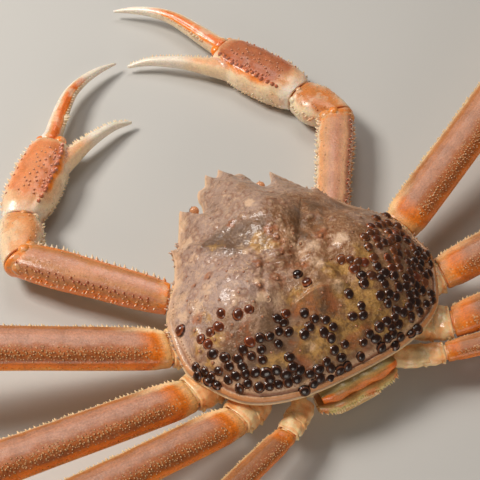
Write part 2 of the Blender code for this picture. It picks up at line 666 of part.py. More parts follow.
def leg_path(number, side):
    """Joints of a walking leg from the body to its tip."""
    place, shares = LEG_PLACES[number], LEG_SHARES[number]
    sign = 1.0 if side == "right" else -1.0
    x, y, azimuth = place[side]
    turn = place["turn"]

    def out(steps, pitch):
        return heading(sign * (azimuth + turn * steps), pitch)

    lengths = {key: share * CARAPACE_WIDTH for key, share in shares.items()}
    body = mirrored(place["body"], side)
    base = Vector((x, y, place["height"]))
    knee = base + out(0, LEG_RISE) * lengths["merus"]
    shin = knee + out(1, -CARPUS_DROP) * lengths["carpus"]
    ankle_height = ANKLE_HEIGHT * shares["width"] / LEG_SHARES[1]["width"]
    fall = -math.degrees(math.asin((shin.z - ankle_height) / lengths["propodus"]))
    ankle = shin + out(2, fall) * lengths["propodus"]
    fall = -math.degrees(math.asin((ankle_height - TIP_HEIGHT) / lengths["dactyl"]))
    tip = ankle + out(3, fall) * lengths["dactyl"]
    return [body, base, knee, shin, ankle, tip]


def walking_leg(number, side):
    """Five segments of one walking leg, and its socket."""
    path = leg_path(number, side)
    normals = joint_normals(path)
    half_width = LEG_SHARES[number]["width"] * CARAPACE_WIDTH / 2.0
    half_height = half_width * LEG_THICKNESS
    spine_sizes = {key: share * half_width for key, share in LEG_SPINE.items()}
    label = f"leg{number}_{side}_"
    segments = (("coxa", COXA_SHAPE, []), ("merus", MERUS_SHAPE, MERUS_ROWS),
                ("carpus", CARPUS_SHAPE, CARPUS_ROWS), ("propodus", PROPODUS_SHAPE, PROPODUS_ROWS))
    for index, (name, shape, rows) in enumerate(segments):
        near, far = trimmed(path[index], path[index + 1], normals[index], normals[index + 1])
        stations = straight_stations(near, far, shape, half_width, half_height)
        limb = loft(label + name, tube_rings(stations, normals[index], normals[index + 1]), "leg")
        if rows and (number != SMOOTH_LEG or name == "merus"):
            rows = rows[:2] if number == SMOOTH_LEG else rows
            combine(limb, [one for row in rows for one in spine_row(stations, row, spine_sizes, "leg", side)])
    near = path[4] + normals[4] * (GAP / 2.0)
    tip = path[5]
    landing = tip - (tip - near).normalized() * TIP_RUN
    landing.z = TIP_HEIGHT + 0.0003
    stations = straight_stations(near, landing, DACTYL_SHAPE, half_width, half_height)
    stations.append((landing, LEG_TIP_RADIUS * 1.5, LEG_TIP_RADIUS * 1.4))
    stations.append((tip, LEG_TIP_RADIUS * 0.8, LEG_TIP_RADIUS))
    loft(label + "dactyl", tube_rings(stations, normals[4], sides=8), "leg")
    first = COXA_SHAPE[0]
    return socket(label + "socket", path[0], normals[0], first[1] * half_width, first[2] * half_height)


def claw_place(joints, side, along, across, above):
    """World point of a place given along and across the claw from its wrist."""
    forward = heading(joints["heading"], 0.0)
    outward = UP.cross(forward) if side == "left" else forward.cross(UP)
    scale = joints["scale"]
    return Vector(joints["wrist"]) + (forward * along + outward * across + UP * above) * scale


def claw_stations(joints, side, rows):
    """Stations of a palm or finger from its rows of sizes."""
    scale = joints["scale"]
    return [(claw_place(joints, side, *row[:3]), row[3] * scale, row[4] * scale) for row in rows]


def claw_arm(side):
    """Coxa, merus, carpus, palm with its fixed finger, and moving finger of one side."""
    joints = ARM_JOINTS[side]
    body, base, elbow, wrist = (Vector(joints[key]) for key in ("body", "base", "elbow", "wrist"))
    forward = heading(joints["heading"], 0.0)
    normals = joint_normals([body, base, elbow, wrist, wrist + forward])
    label = f"claw_{side}_"
    for index, (name, start, end, shape) in enumerate((("coxa", body, base, ARM_COXA),
                                                       ("merus", base, elbow, ARM_MERUS),
                                                       ("carpus", elbow, wrist, ARM_CARPUS))):
        near, far = trimmed(start, end, normals[index], normals[index + 1])
        stations = straight_stations(near, far, shape)
        limb = loft(label + name, tube_rings(stations, normals[index], normals[index + 1]), "claw")
        rows = ARM_ROWS.get(name, [])
        if rows:
            combine(limb, [one for row in rows for one in spine_row(stations, row, ARM_SPINE, "claw", side)])
    stations = claw_stations(joints, side, PALM)
    centre, half_width, half_height = stations[0]
    stations[0] = (centre + normals[3] * (GAP / 2.0), half_width, half_height)
    palm = loft(label + "palm", tube_rings(stations, normals[3], forward, sides=12), "claw")
    pieces = [one for row in PALM_ROWS for one in spine_row(stations, row, ARM_SPINE, "claw", side)]
    stations = claw_stations(joints, side, FIXED_FINGER)
    pieces.append(loft(label + "fixed", tube_rings(stations), "finger"))
    combine(palm, pieces + spine_row(stations, (0, *FIXED_TOOTH_ROW), TOOTH, "finger", side))
    stations = claw_stations(joints, side, MOVING_FINGER)
    finger = loft(label + "dactyl", tube_rings(stations, forward), "finger")
    combine(finger, spine_row(stations, (180, *TOOTH_ROW), TOOTH, "finger", side))
    first = ARM_COXA[0]
    return socket(label + "socket", body, normals[0], first[1], first[2])


def clear_scene():
    """Remove whatever the scene holds."""
    for item in list(bpy.data.objects):
        bpy.data.objects.remove(item)


def build():
    """Make every sub-part of the crab."""
    clear_scene()
    carapace()
    sockets = []
    for side in ("left", "right"):
        sockets.append(claw_arm(side))
        for number in LEG_SHARES:
            sockets.append(walking_leg(number, side))
        mouth_plate(side)
        eye(side)
        antenna(side)
    thorax(sockets)
    abdomen_band()
    abdomen_flap()


build()
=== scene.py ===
"""A snow crab at life size, with the looks of its shell, limbs and egg cases."""

import math

import bpy
import numpy as np
from bpy.props import FloatProperty, FloatVectorProperty, IntProperty, PointerProperty
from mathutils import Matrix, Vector, noise
from mathutils.bvhtree import BVHTree
from mathutils.kdtree import KDTree


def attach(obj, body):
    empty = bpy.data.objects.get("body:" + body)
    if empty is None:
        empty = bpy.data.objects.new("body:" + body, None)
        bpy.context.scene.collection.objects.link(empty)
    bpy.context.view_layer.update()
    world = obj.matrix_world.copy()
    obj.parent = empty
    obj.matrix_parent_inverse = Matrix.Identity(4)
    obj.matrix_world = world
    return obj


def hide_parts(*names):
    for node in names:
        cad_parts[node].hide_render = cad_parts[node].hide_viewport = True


bl_info = {
    "name": "Snow crab",
    "version": (1, 0, 0),
    "blender": (4, 5, 0),
    "location": "View3D > Sidebar > Snow Crab",
    "description": "Builds a life-size snow crab around its packed solids",
    "category": "Add Mesh",
}

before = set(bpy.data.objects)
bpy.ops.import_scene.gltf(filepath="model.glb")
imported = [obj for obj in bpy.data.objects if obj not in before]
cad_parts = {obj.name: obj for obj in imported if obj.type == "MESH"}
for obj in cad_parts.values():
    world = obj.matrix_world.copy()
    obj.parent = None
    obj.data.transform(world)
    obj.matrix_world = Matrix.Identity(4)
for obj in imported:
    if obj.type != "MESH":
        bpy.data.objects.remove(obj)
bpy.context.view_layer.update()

# Sizes of the solids, in metres

CARAPACE_WIDTH = 0.138
GAP = 0.0003
UP = np.array([0.0, 0.0, 1.0])

RIM_HEIGHT = 0.0275
SNOUT_RISE = 0.0015
SHELL_TOP = 0.0545
SHELL_UNDERSIDE = 0.0243

# Outline of the shell's right half in shares of its width; a third value of 0 makes a sharp tip

SIDE_OUTLINE = [
    (0.000, -0.450), (0.220, -0.435), (0.385, -0.365), (0.480, -0.220),
    (0.500, -0.130), (0.463, 0.050), (0.366, 0.178), (0.320, 0.262),
]
FRONT_OUTLINE = [
    (0.308, 0.314, 0), (0.290, 0.303, 1), (0.266, 0.334, 1), (0.238, 0.380, 1), (0.216, 0.419, 1),
    (0.194, 0.456, 0), (0.180, 0.420, 1), (0.157, 0.396, 1), (0.125, 0.402, 1), (0.108, 0.440, 1),
    (0.106, 0.470, 1), (0.092, 0.500, 1), (0.070, 0.506, 1), (0.055, 0.512, 0), (0.044, 0.532, 1),
    (0.028, 0.561, 0), (0.016, 0.542, 1),
]
NOTCH = (0.0, 0.530, 1)

# Swellings and grooves of the shell: place and spread in shares of the width, height in metres

MIDDLE_RELIEF = [
    (0.00, 0.17, 0.12, 0.12, 0.0030), (0.00, -0.19, 0.07, 0.09, 0.0024),
    (0.00, -0.34, 0.09, 0.05, 0.0012), (0.00, -0.03, 0.05, 0.03, -0.0012),
]
PAIRED_RELIEF = [
    (0.27, -0.14, 0.14, 0.18, 0.0044), (0.27, 0.17, 0.07, 0.07, 0.0014),
    (0.13, 0.03, 0.05, 0.06, -0.0022), (0.105, -0.13, 0.032, 0.10, -0.0026),
]

# The camera of the photograph; its pixels place what lies on the shell

CAMERA_PLACE = (-0.19543, -0.29077, 0.50429)
CAMERA_TARGET = (-0.00898, 0.03217, 0.0270)
CAMERA_LENS = 90.0
SENSOR_WIDTH = 36.0
IMAGE_SIZE = 480

# Egg cases by pixel: near-black, brown and reddish ones

DARK_EGGS = [
    (377.5, 266.4), (414.4, 260.9), (421.4, 263), (429.8, 264.4), (420, 268.6), (429.1, 273.6),
    (361.8, 275), (384.9, 272.8), (394.7, 275.6), (405.5, 277.7), (364.5, 283.2), (384.8, 284.2),
    (399, 287.4), (406, 286.8), (416.5, 286), (349.2, 294.2), (380, 295.3), (389.5, 293.9),
    (409.5, 295.2), (416.3, 293.9), (431.4, 294.2), (422.5, 290.5), (380.5, 278), (411.5, 301),
    (361.7, 306.3), (363.1, 315.4), (352.6, 316.4), (388, 303.9), (432.3, 300.6), (426.4, 304.2),
    (417.4, 303), (409.3, 306.8), (420.3, 311.8), (397.1, 310.4), (403.6, 312.6), (411.4, 316.6),
    (386.7, 321.2), (394.8, 317.4), (391.6, 327.4), (369.4, 334), (363.6, 342.4), (375.3, 338.8),
    (381.8, 348.1), (387.3, 338), (393.4, 334.6), (394.4, 344.6), (400.6, 337.6), (409.8, 333.2),
    (416.8, 328.6), (361.2, 356.7), (341.1, 358), (326.5, 362), (319.1, 369.4), (331, 368.2),
    (347.8, 367.1), (340, 371), (319.8, 378.6), (330.4, 378), (313.8, 384.4), (304.6, 391.4),
    (304.4, 313.5), (314.8, 318.7), (325.8, 319.9), (333.2, 326.8), (309.9, 327.2), (304.6, 334.6),
    (323.7, 332), (331.3, 338.6), (334.5, 350), (345, 344.1), (212.8, 353.8), (224.3, 357.8),
    (195.6, 368), (204.7, 371.6), (211.3, 376.6), (218.3, 370.6), (209.2, 380.8), (217.4, 384.6),
    (229.4, 366.4), (227.7, 379.8), (242, 366), (235.6, 375.8), (239.1, 389.4), (247.6, 383.4),
    (243, 349.5), (259.7, 338.5), (270, 336.4), (261, 349.8), (251.3, 356.4), (262.1, 359.9),
    (278.9, 331.3), (278.5, 343.8), (288.6, 332.3), (283.4, 322.7), (277.2, 318.2), (289.8, 357.2),
    (255.4, 372.6), (265.6, 373.4), (276.3, 370.8), (259.2, 386.8), (268.9, 386.6), (278.4, 384),
    (286.3, 374.6), (292.7, 366.7), (296.7, 379.2), (288, 382.4), (300.2, 370.6), (297.2, 273.7),
    (269.6, 379.2), (238.2, 358.8),
]
BROWN_EGGS = [
    (376.3, 219), (386.5, 216.4), (378, 225.8), (387.5, 223.5), (395.8, 221.2), (397.2, 226.9),
    (369, 246.4), (379, 246.2), (393.3, 250.4), (412.3, 247.5), (407.4, 253.2), (396.8, 260.2),
    (373.8, 257.7), (350, 259.6), (341, 260.1), (399.7, 267.2), (357.8, 262), (371.6, 275.5),
    (424.9, 282.6), (391.9, 238.6),
]
WARM_EGGS = [
    (371, 226.5), (376.3, 238.9), (396, 233.8), (406.7, 239.1), (387.7, 257.9), (364.6, 262.2),
    (354.3, 268.7), (391.9, 267.9), (416.6, 276.9), (179.8, 330.2), (221.0, 313.2), (238.2, 314.1),
    (248.7, 309.1), (219.1, 326.8), (210.0, 332.3), (200.4, 338.9), (208.5, 343.9), (249.9, 341.4),
    (286.2, 313.4), (306.6, 281.8),
]

# Crowds of egg cases by pixel: half width, half height, share of brown and number of tries

EGG_CROWDS = [
    (400, 262, 31, 24, 0.2, 90), (412, 290, 23, 24, 0.0, 90), (384, 240, 20, 20, 0.9, 50),
    (350, 263, 15, 6, 0.7, 14), (392, 320, 16, 12, 0.0, 14), (232, 378, 40, 10, 0.0, 60),
    (240, 360, 30, 9, 0.0, 12), (312, 372, 20, 9, 0.0, 16), (212, 378, 20, 8, 0.0, 20),
    (285, 380, 18, 8, 0.0, 20),
]

# Least distance between two egg cases of a crowd, in metres

EGG_SPACING = 0.0037

# Rough places of the shell by pixel: radius in millimetres and strength

ROUGH_ZONES = [
    (222, 290, 15, 0.8), (190, 262, 13, 1.0), (196, 300, 14, 1.0), (182, 282, 10, 0.9),
    (262, 264, 11, 0.9), (290, 270, 12, 0.8), (292, 240, 7, 0.9), (208, 350, 14, 1.0),
    (246, 325, 12, 0.9), (230, 262, 8, 0.7), (330, 300, 12, 0.7), (345, 335, 14, 0.6),
    (310, 350, 12, 0.6), (336, 250, 8, 0.5), (268, 352, 10, 0.6), (385, 238, 10, 0.6),
    (270, 300, 12, 0.4), (190, 226, 6, 0.5), (318, 262, 8, 0.7),
]

# Tubercles of the shell by pixel, with their relative height

TUBERCLES = [
    (230.4, 222.0, 1.1), (271.2, 230.4, 1.3), (277.4, 236.9, 1.9), (281.4, 252.8, 1.3), (291.6, 246.4, 1.1),
    (290.6, 254.8, 1.3), (231.4, 259.2, 1.2), (258.5, 266.0, 2.1), (302.9, 264.2, 1.8), (208.5, 277.6, 1.7),
    (194.7, 285.6, 1.5), (259.5, 285.2, 1.9), (277.3, 278.6, 1.6), (320.6, 236.0, 2.5), (225.3, 246.8, 0.9),
    (225.3, 191.2, 0.7), (210.2, 218.2, 0.7), (242.4, 178.6, 0.8), (383.2, 235.4, 1.2), (341.6, 247.6, 0.9),
    (300.6, 243.6, 1.1), (310.2, 252.6, 1.0), (332.4, 226.6, 0.8), (232.0, 335.2, 1.5), (198.6, 318.8, 1.8),
    (232.4, 324.6, 1.2), (212.8, 362.8, 1.5), (199.6, 351.2, 1.6), (194.7, 330.6, 1.5), (235.8, 355.2, 1.2),
    (244.6, 326.4, 1.3), (219.4, 299.8, 1.1), (238.6, 292.2, 1.0), (205.6, 296.2, 0.9), (187.2, 300.6, 1.0),
    (268.6, 297.2, 1.2), (253.4, 301.4, 0.9), (190.2, 312.6, 1.0), (262.4, 316.8, 1.1), (322.6, 292.6, 1.0),
    (341.0, 305.6, 1.2), (330.2, 259.0, 1.0), (346.6, 282.2, 0.9), (404.6, 300.4, 0.9), (214.6, 339.6, 1.2),
    (226.6, 271.2, 1.0), (243.6, 272.0, 0.9), (218.6, 263.6, 0.8), (247.4, 281.4, 0.8), (186.4, 276.6, 0.9),
    (293.4, 233.4, 1.0), (284.6, 242.2, 0.8), (352.4, 232.4, 0.7), (361.0, 216.6, 0.7), (300.4, 350.6, 1.0),
    (271.4, 352.6, 0.9), (235.4, 346.6, 1.0), (380.4, 309.2, 0.9), (356.4, 326.0, 1.0), (268.4, 262.4, 0.9),
]

# Stains and spots of the shell by pixel: radius in millimetres and strength; ochre and rust stains, pale
# spots that are partly painted glints, and dark spots that are partly painted shade in hollows and between
# egg cases

OCHRE_STAINS = [
    (262, 243, 5, 0.9), (273, 241, 4, 0.8), (215, 246, 5, 0.4), (332, 269, 4, 0.9), (342, 270, 3, 0.8),
    (363, 252, 4, 0.8), (372, 300, 5, 0.9), (374, 314, 6, 1.0), (384, 330, 4, 0.8), (346, 331, 6, 1.0),
    (356, 320, 4, 0.8), (321, 344, 6, 1.0), (316, 355, 5, 0.9), (303, 346, 4, 0.7), (268, 366, 4, 0.9),
    (280, 361, 4, 0.9), (404, 325, 4, 0.8), (413, 323, 3, 0.8), (300, 330, 4, 0.6), (303, 300, 6, 0.7),
    (205, 318, 4, 0.5), (212, 362, 3, 0.8), (199, 351, 3, 0.7), (216, 338, 4, 0.6), (352, 296, 5, 0.7),
    (404, 302, 3, 0.5), (265, 392, 6, 0.6), (298, 392, 6, 0.6), (240, 398, 5, 0.5), (340, 290, 4, 0.8),
    (420, 240, 3, 0.6), (194, 333, 3, 0.6), (360, 310, 8, 0.8), (335, 330, 7, 0.7), (330, 350, 5, 0.7),
    (312, 300, 6, 0.6), (290, 300, 5, 0.5), (350, 345, 6, 0.6), (366, 285, 5, 0.6),
]
RUST_STAINS = [
    (271, 231, 3, 0.9), (277, 237, 3, 0.8), (258, 266, 2.5, 0.9), (303, 264, 3, 0.6),
    (259, 287, 2.5, 0.7), (262, 291, 2.5, 0.5), (208, 277, 2.5, 0.8), (321, 236, 3, 0.9),
    (310, 303, 6, 0.6), (325, 298, 5, 0.6), (333, 307, 5, 0.5), (297, 309, 4, 0.6), (237, 338, 6, 0.4),
    (247, 327, 5, 0.4), (198, 319, 3, 0.8), (353, 342, 4, 0.6), (367, 327, 3, 0.6), (288, 252, 4, 0.5),
    (285, 282, 5, 0.4), (275, 279, 4, 0.4), (304, 366, 5, 0.7), (295, 345, 4, 0.5), (282, 240, 3, 0.6),
    (293, 265, 4, 0.4), (231, 336, 4, 0.3), (365, 345, 5, 0.4), (194, 286, 2, 0.7), (282, 252, 2, 0.7),
    (291, 250, 2.5, 0.7), (231, 222, 2.5, 0.5),
]
# Pale spots: partly real pale flecks, partly painted glints, such as along the left rim and across the right
# front
PALE_SPOTS_AND_GLINTS = [
    (249, 204, 2.2, 1.0), (182, 226, 4, 0.7), (186, 245, 4, 0.8), (192, 260, 3, 0.6), (180, 300, 5, 0.6),
    (196, 308, 4, 0.7), (184, 318, 4, 0.6), (341, 239, 3, 0.8), (247, 252, 2, 0.7), (244, 235, 5, 0.3),
    (229, 198, 6, 0.3), (300, 250, 4, 0.5), (293, 246, 2, 0.6), (258, 282, 2, 0.9), (262, 297, 3, 0.6),
    (208, 290, 5, 0.5), (236, 300, 5, 0.4), (312, 246, 5, 0.5), (318, 262, 3, 0.7), (338, 287, 3, 0.6),
    (216, 362, 2, 0.9), (202, 345, 3, 0.5), (280, 300, 5, 0.3), (241, 245, 3, 0.4), (385, 236, 2, 0.6),
    (420, 253, 2.5, 0.9), (414, 239, 2.5, 0.8), (310, 346, 3, 0.4), (372, 392, 4, 0.6),
    (255, 400, 4, 0.5), (204, 384, 4, 0.7), (190, 372, 4, 0.7), (176, 340, 4, 0.6), (171, 316, 3, 0.7),
    (276, 398, 4, 0.5), (177, 284, 4, 0.5), (176, 262, 4, 0.7), (171, 250, 3, 0.9), (387, 366, 3, 0.6),
    (411, 341, 3, 0.6),
]
# Dark spots: partly the shell's own brown, partly painted shade in its hollows and between egg cases
DARK_SPOTS_AND_SHADE = [
    (235, 236, 9, 0.9), (218, 240, 7, 0.8), (206, 244, 5, 0.6), (250, 228, 8, 0.5), (297, 218, 8, 0.5),
    (312, 205, 7, 0.5), (290, 212, 5, 0.5), (316, 222, 5, 0.4), (302, 236, 3, 0.7), (300, 232, 3, 0.7),
    (300, 367, 8, 1.0), (292, 358, 5, 0.8), (307, 381, 5, 0.7), (268, 330, 5, 0.6), (345, 352, 6, 0.6),
    (298, 243, 2, 0.8), (340, 205, 7, 0.4), (330, 190, 6, 0.4), (240, 335, 7, 0.6), (303, 330, 3, 0.5),
    (281, 258, 4, 0.5), (396, 256, 6, 0.4), (385, 290, 6, 0.5), (400, 300, 6, 0.5), (270, 345, 6, 0.7),
    (320, 310, 6, 0.7), (330, 312, 5, 0.6), (270, 318, 6, 0.6), (285, 345, 6, 0.6), (360, 332, 5, 0.5),
    (232, 352, 6, 0.6), (255, 365, 6, 0.6), (220, 375, 7, 0.6), (345, 262, 4, 0.4), (415, 275, 7, 0.5),
    (296, 290, 4, 0.4), (250, 300, 9, 0.25), (262, 225, 9, 0.45), (265, 305, 8, 0.4), (278, 268, 5, 0.35),
]

# Broad swellings and hollows of the shell by pixel: radius and height in millimetres

BROAD_RELIEF = [
    (222, 236, 11, -2.1), (242, 233, 8, -1.4), (222, 288, 17, 1.7), (262, 203, 14, 1.3),
    (255, 262, 7, 1.2), (278, 279, 7, 1.0), (345, 238, 15, 1.4), (318, 296, 9, 1.1), (300, 258, 6, -1.3),
    (292, 332, 10, -0.9), (232, 330, 10, -0.6), (208, 350, 8, 0.9), (212, 205, 10, 0.8),
    (370, 300, 10, 0.8), (345, 320, 9, -0.6), (196, 266, 8, 0.6),
]

# Ridges and steps across the shell by pixel: the line, its height and its width in millimetres

SHELL_FOLDS = [
    ([(188, 247), (200, 250), (216, 249), (232, 250), (245, 253), (256, 262), (268, 268), (284, 263)],
     1.0, 1.9),
    ([(300, 302), (309, 296), (320, 291), (330, 288), (343, 286)], 1.2, 1.6),
    ([(358, 333), (370, 328), (384, 333)], 0.7, 1.4), ([(318, 260), (306, 276), (302, 300)], -0.8, 2.0),
    ([(262, 262), (262, 290), (270, 312)], -0.6, 2.2),
    ([(300, 202), (299, 216), (297, 230), (296, 244), (300, 262)], -1.4, 3.0),
    ([(212, 286), (226, 292), (246, 296)], 0.5, 2.0), ([(315, 340), (306, 352), (302, 372)], -0.6, 2.2),
    ([(318, 214), (322, 232), (320, 246)], 0.8, 2.6),
]

# Worm tubes by pixel, with the turn at which each one starts in degrees

WORM_MARKS = [
    (196, 300, 40), (204, 316, 200), (201, 307, 120), (191, 303, 280), (206, 309, 330), (245, 268, 60),
    (236, 272, 250), (268, 300, 150), (249, 263, 20),
]

# Mouth plates, abdomen, eyes and feelers, in metres

MOUTH_FOOT = 0.032
MOUTH_LEAN = 0.92
ABDOMEN_BAND_Y = -0.0637
UPPER_PLATE = [(-0.0196, 0.0022, 0.0196, 0.0040, 0.0032), (-0.0165, 0.0018, 0.0204, 0.0048, 0.0036),
               (0.0, 0.0014, 0.0210, 0.0052, 0.0038), (0.0165, 0.0018, 0.0204, 0.0048, 0.0036),
               (0.0194, 0.0022, 0.0196, 0.0040, 0.0032)]
LOWER_PLATE = [(-0.0218, 0.0016, 0.0150, 0.0044, 0.0026), (-0.0165, 0.0006, 0.0154, 0.0058, 0.0030),
               (0.0, 0.0002, 0.0156, 0.0062, 0.0032), (0.0160, 0.0006, 0.0154, 0.0056, 0.0030),
               (0.0196, 0.0014, 0.0150, 0.0042, 0.0026)]

FLAP_STATIONS = [
    (-0.0660, 0.0050, 0.0125, 0.0024), (-0.0580, 0.0030, 0.0160, 0.0028),
    (-0.0400, 0.0024, 0.0145, 0.0026), (-0.0150, 0.0024, 0.0110, 0.0026),
    (0.0060, 0.0024, 0.0070, 0.0026), (0.0120, 0.0022, 0.0030, 0.0024),
]
MOUTH_PLATE = [(0.0045, 0.0040), (0.0065, 0.0052), (0.0120, 0.0056), (0.0160, 0.0050), (0.0185, 0.0038)]
MOUTH_PLATE_THICKNESS = 0.0034
MOUTH_PLATE_X = 0.0062
EYE = {"root": (0.0190, 0.0502, 0.0190), "neck": (0.0200, 0.0560, 0.0230),
       "ball": (0.0208, 0.0590, 0.0272), "stalk_radius": 0.0018, "radius": 0.0032}
EYE_SHIFT = {"left": (0.0015, 0.0027, -0.0022), "right": (-0.0012, 0.0014, -0.0038)}
EYE_SHARE = 0.82
EYE_RINGS = [(-0.80, 0.66), (-0.35, 0.95), (0.0, 1.0), (0.5, 0.86), (0.85, 0.52), (0.99, 0.10)]
ANTENNA = [((0.0095, 0.0522, 0.0217), 0.0018), ((0.0112, 0.0580, 0.0205), 0.0017),
           ((0.0120, 0.0605, 0.0180), 0.0010), ((0.0132, 0.0640, 0.0140), 0.0006),
           ((0.0140, 0.0655, 0.0095), 0.0004)]

# Walking legs: sizes in shares of the shell's width, places in metres and angles in degrees

LEG_SHARES = {
    1: {"merus": 0.98, "carpus": 0.37, "propodus": 0.64, "dactyl": 0.44, "width": 0.168},
    2: {"merus": 1.05, "carpus": 0.38, "propodus": 0.66, "dactyl": 0.45, "width": 0.152},
    3: {"merus": 0.90, "carpus": 0.34, "propodus": 0.58, "dactyl": 0.41, "width": 0.138},
    4: {"merus": 0.55, "carpus": 0.20, "propodus": 0.35, "dactyl": 0.26, "width": 0.086},
}
LEG_THICKNESS = 0.56
LEG_RISE = 10.0
CARPUS_DROP = 7.0
ANKLE_HEIGHT = 0.0140
TIP_HEIGHT = 0.0009
TIP_RUN = 0.0060
LEG_PLACES = {
    1: {"body": (0.0430, -0.0030, 0.0115), "left": (-0.0690, -0.0030, 66.0),
        "right": (0.0692, 0.0032, 66.5), "height": 0.0195, "turn": -4.0},
    2: {"body": (0.0455, -0.0240, 0.0115), "left": (-0.0723, -0.0305, 88.5),
        "right": (0.0700, -0.0320, 93.0), "height": 0.0195, "turn": -1.0},
    3: {"body": (0.0420, -0.0430, 0.0115), "left": (-0.0600, -0.0522, 94.0),
        "right": (0.0585, -0.0580, 101.0), "height": 0.0185, "turn": 3.0},
    4: {"body": (0.0255, -0.0575, 0.0115), "left": (-0.0425, -0.0692, 110.2),
        "right": (0.0466, -0.0692, 110.0), "height": 0.0160, "turn": 6.0},
}
FINE_MERUS = [
    (0.0, 0.78, 0.84), (0.012, 0.84, 0.90), (0.03, 0.90, 0.95), (0.06, 0.93, 0.97), (0.12, 0.95, 0.98),
    (0.25, 0.965, 0.99), (0.45, 0.97, 0.99), (0.86, 0.96, 0.96), (0.96, 0.88, 0.88), (1.0, 0.76, 0.80),
]
CARPUS_SHAPE = [(0.0, 0.78, 0.82), (0.25, 0.86, 0.92), (0.80, 0.90, 0.92), (1.0, 0.70, 0.76)]
PROPODUS_SHAPE = [(0.0, 0.70, 0.76), (0.14, 0.74, 0.82), (0.60, 0.66, 0.72), (1.0, 0.44, 0.52)]
DACTYL_SHAPE = [(0.0, 0.44, 0.52), (0.12, 0.38, 0.46), (0.50, 0.27, 0.34), (0.80, 0.17, 0.22)]
LEG_TIP_RADIUS = 0.0011

# How far each leg takes the browner, darker bands: partly its own browner colour, partly painted shade on
# the legs that lie in shade

LEG_BROWN_AND_SHADE = {"left": {1: 0.0, 2: 0.1, 3: 0.3, 4: 1.0}, "right": {1: 0.45, 2: 0.7, 3: 1.0, 4: 1.0}}

# The two sleeves of a limb's base: their stations, the tilt of the end and the orange of its ring

LEG_BASE_PARTS = [
    ([(0.0, 0.82, 1.04), (0.22, 0.97, 1.08), (0.46, 1.02, 1.08), (0.64, 0.99, 1.02)], -0.25, 0.1),
    ([(0.44, 0.82, 0.92), (0.60, 0.94, 1.0), (0.82, 0.98, 1.02), (1.0, 0.86, 0.92)], 0.0, 0.6),
]

# Rows of beads on a leg: angle, spacing, first and last share of the length, height, darkness and wander

LEG_ROWS = {
    "merus": [
        (166.0, 0.0020, 0.03, 0.97, 1.0, 0.1, 2.5), (173.0, 0.0040, 0.06, 0.95, 0.7, 0.1, 5.0),
        (74.0, 0.0024, 0.09, 0.96, 0.42, 0.6, 4.0), (63.0, 0.0018, 0.07, 0.96, 0.62, 0.6, 3.5),
        (53.0, 0.0018, 0.07, 0.96, 0.58, 0.6, 4.0), (43.0, 0.0020, 0.08, 0.96, 0.44, 0.7, 4.5),
        (67.0, 0.0026, 0.08, 0.96, 0.3, 0.7, 8.0), (33.0, 0.0024, 0.09, 0.96, 0.32, 0.8, 6.0),
        (2.0, 0.0024, 0.06, 0.96, 0.6, 0.1, 4.0),
    ],
    "carpus": [
        (168.0, 0.0026, 0.12, 0.9, 0.9, 0.1, 4.0), (58.0, 0.0028, 0.1, 0.92, 0.7, 0.6, 6.0),
        (100.0, 0.0032, 0.12, 0.92, 0.5, 0.6, 6.0), (34.0, 0.0028, 0.12, 0.92, 0.5, 0.9, 8.0),
        (2.0, 0.0030, 0.1, 0.92, 0.6, 0.2, 4.0),
    ],
    "propodus": [
        (172.0, 0.0024, 0.05, 0.95, 0.8, 0.1, 4.0), (62.0, 0.0030, 0.06, 0.94, 0.6, 0.7, 7.0),
        (105.0, 0.0034, 0.06, 0.94, 0.45, 0.7, 7.0), (30.0, 0.0030, 0.06, 0.94, 0.5, 0.9, 9.0),
        (2.0, 0.0026, 0.05, 0.95, 0.7, 0.2, 4.0),
    ],
}

# Claw arms: joints, stations and shifts in metres, headings in degrees

ARM_JOINTS = {
    "left": {"body": (-0.0330, 0.0140, 0.0115), "base": (-0.0540, 0.0210, 0.0175),
             "elbow": (-0.1070, 0.0825, 0.0150), "wrist": (-0.0964, 0.1122, 0.0098),
             "heading": 40.9, "scale": 0.97},
    "right": {"body": (0.0330, 0.0140, 0.0115), "base": (0.0400, 0.0250, 0.0150),
              "elbow": (0.0860, 0.0910, 0.0125), "wrist": (0.0802, 0.1175, 0.0098),
              "heading": -19.7, "scale": 1.02},
}
ARM_BASE_SIZE = (0.0104, 0.0072)
ARM_SHIFT = {"left": Vector((-0.0003, 0.0026, 0.0)), "right": Vector((0.0014, -0.0007, 0.0))}
FINE_ARM = [(0.0, 0.0076, 0.0068), (0.10, 0.0086, 0.0074), (0.45, 0.0094, 0.0080), (0.86, 0.0099, 0.0083),
            (1.0, 0.0088, 0.0077)]
FINE_CARPUS = [(0.0, 0.0088, 0.0078), (0.30, 0.0112, 0.0090), (0.70, 0.0120, 0.0092), (1.0, 0.0094, 0.0078)]
FINE_PALM = [
    (0.0, 0.0, 0.0, 0.0092, 0.0076), (0.004, 0.0002, 0.0, 0.0114, 0.0086),
    (0.010, 0.0004, 0.0, 0.0134, 0.0093), (0.024, -0.0004, 0.0, 0.0148, 0.0099),
    (0.040, -0.0012, 0.0, 0.0143, 0.0096), (0.050, -0.0010, 0.0, 0.0126, 0.0088),
    (0.057, -0.0007, 0.0, 0.0100, 0.0074),
]
FIXED_FINGER = [(0.038, -0.0070, 0.0, 0.0066, 0.0066), (0.050, -0.0138, -0.0002, 0.0049, 0.0054),
                (0.060, -0.0191, -0.0006, 0.0037, 0.0044), (0.070, -0.0255, -0.0014, 0.0029, 0.0034),
                (0.079, -0.0325, -0.0030, 0.0022, 0.0025), (0.086, -0.0415, -0.0056, 0.0009, 0.0010)]
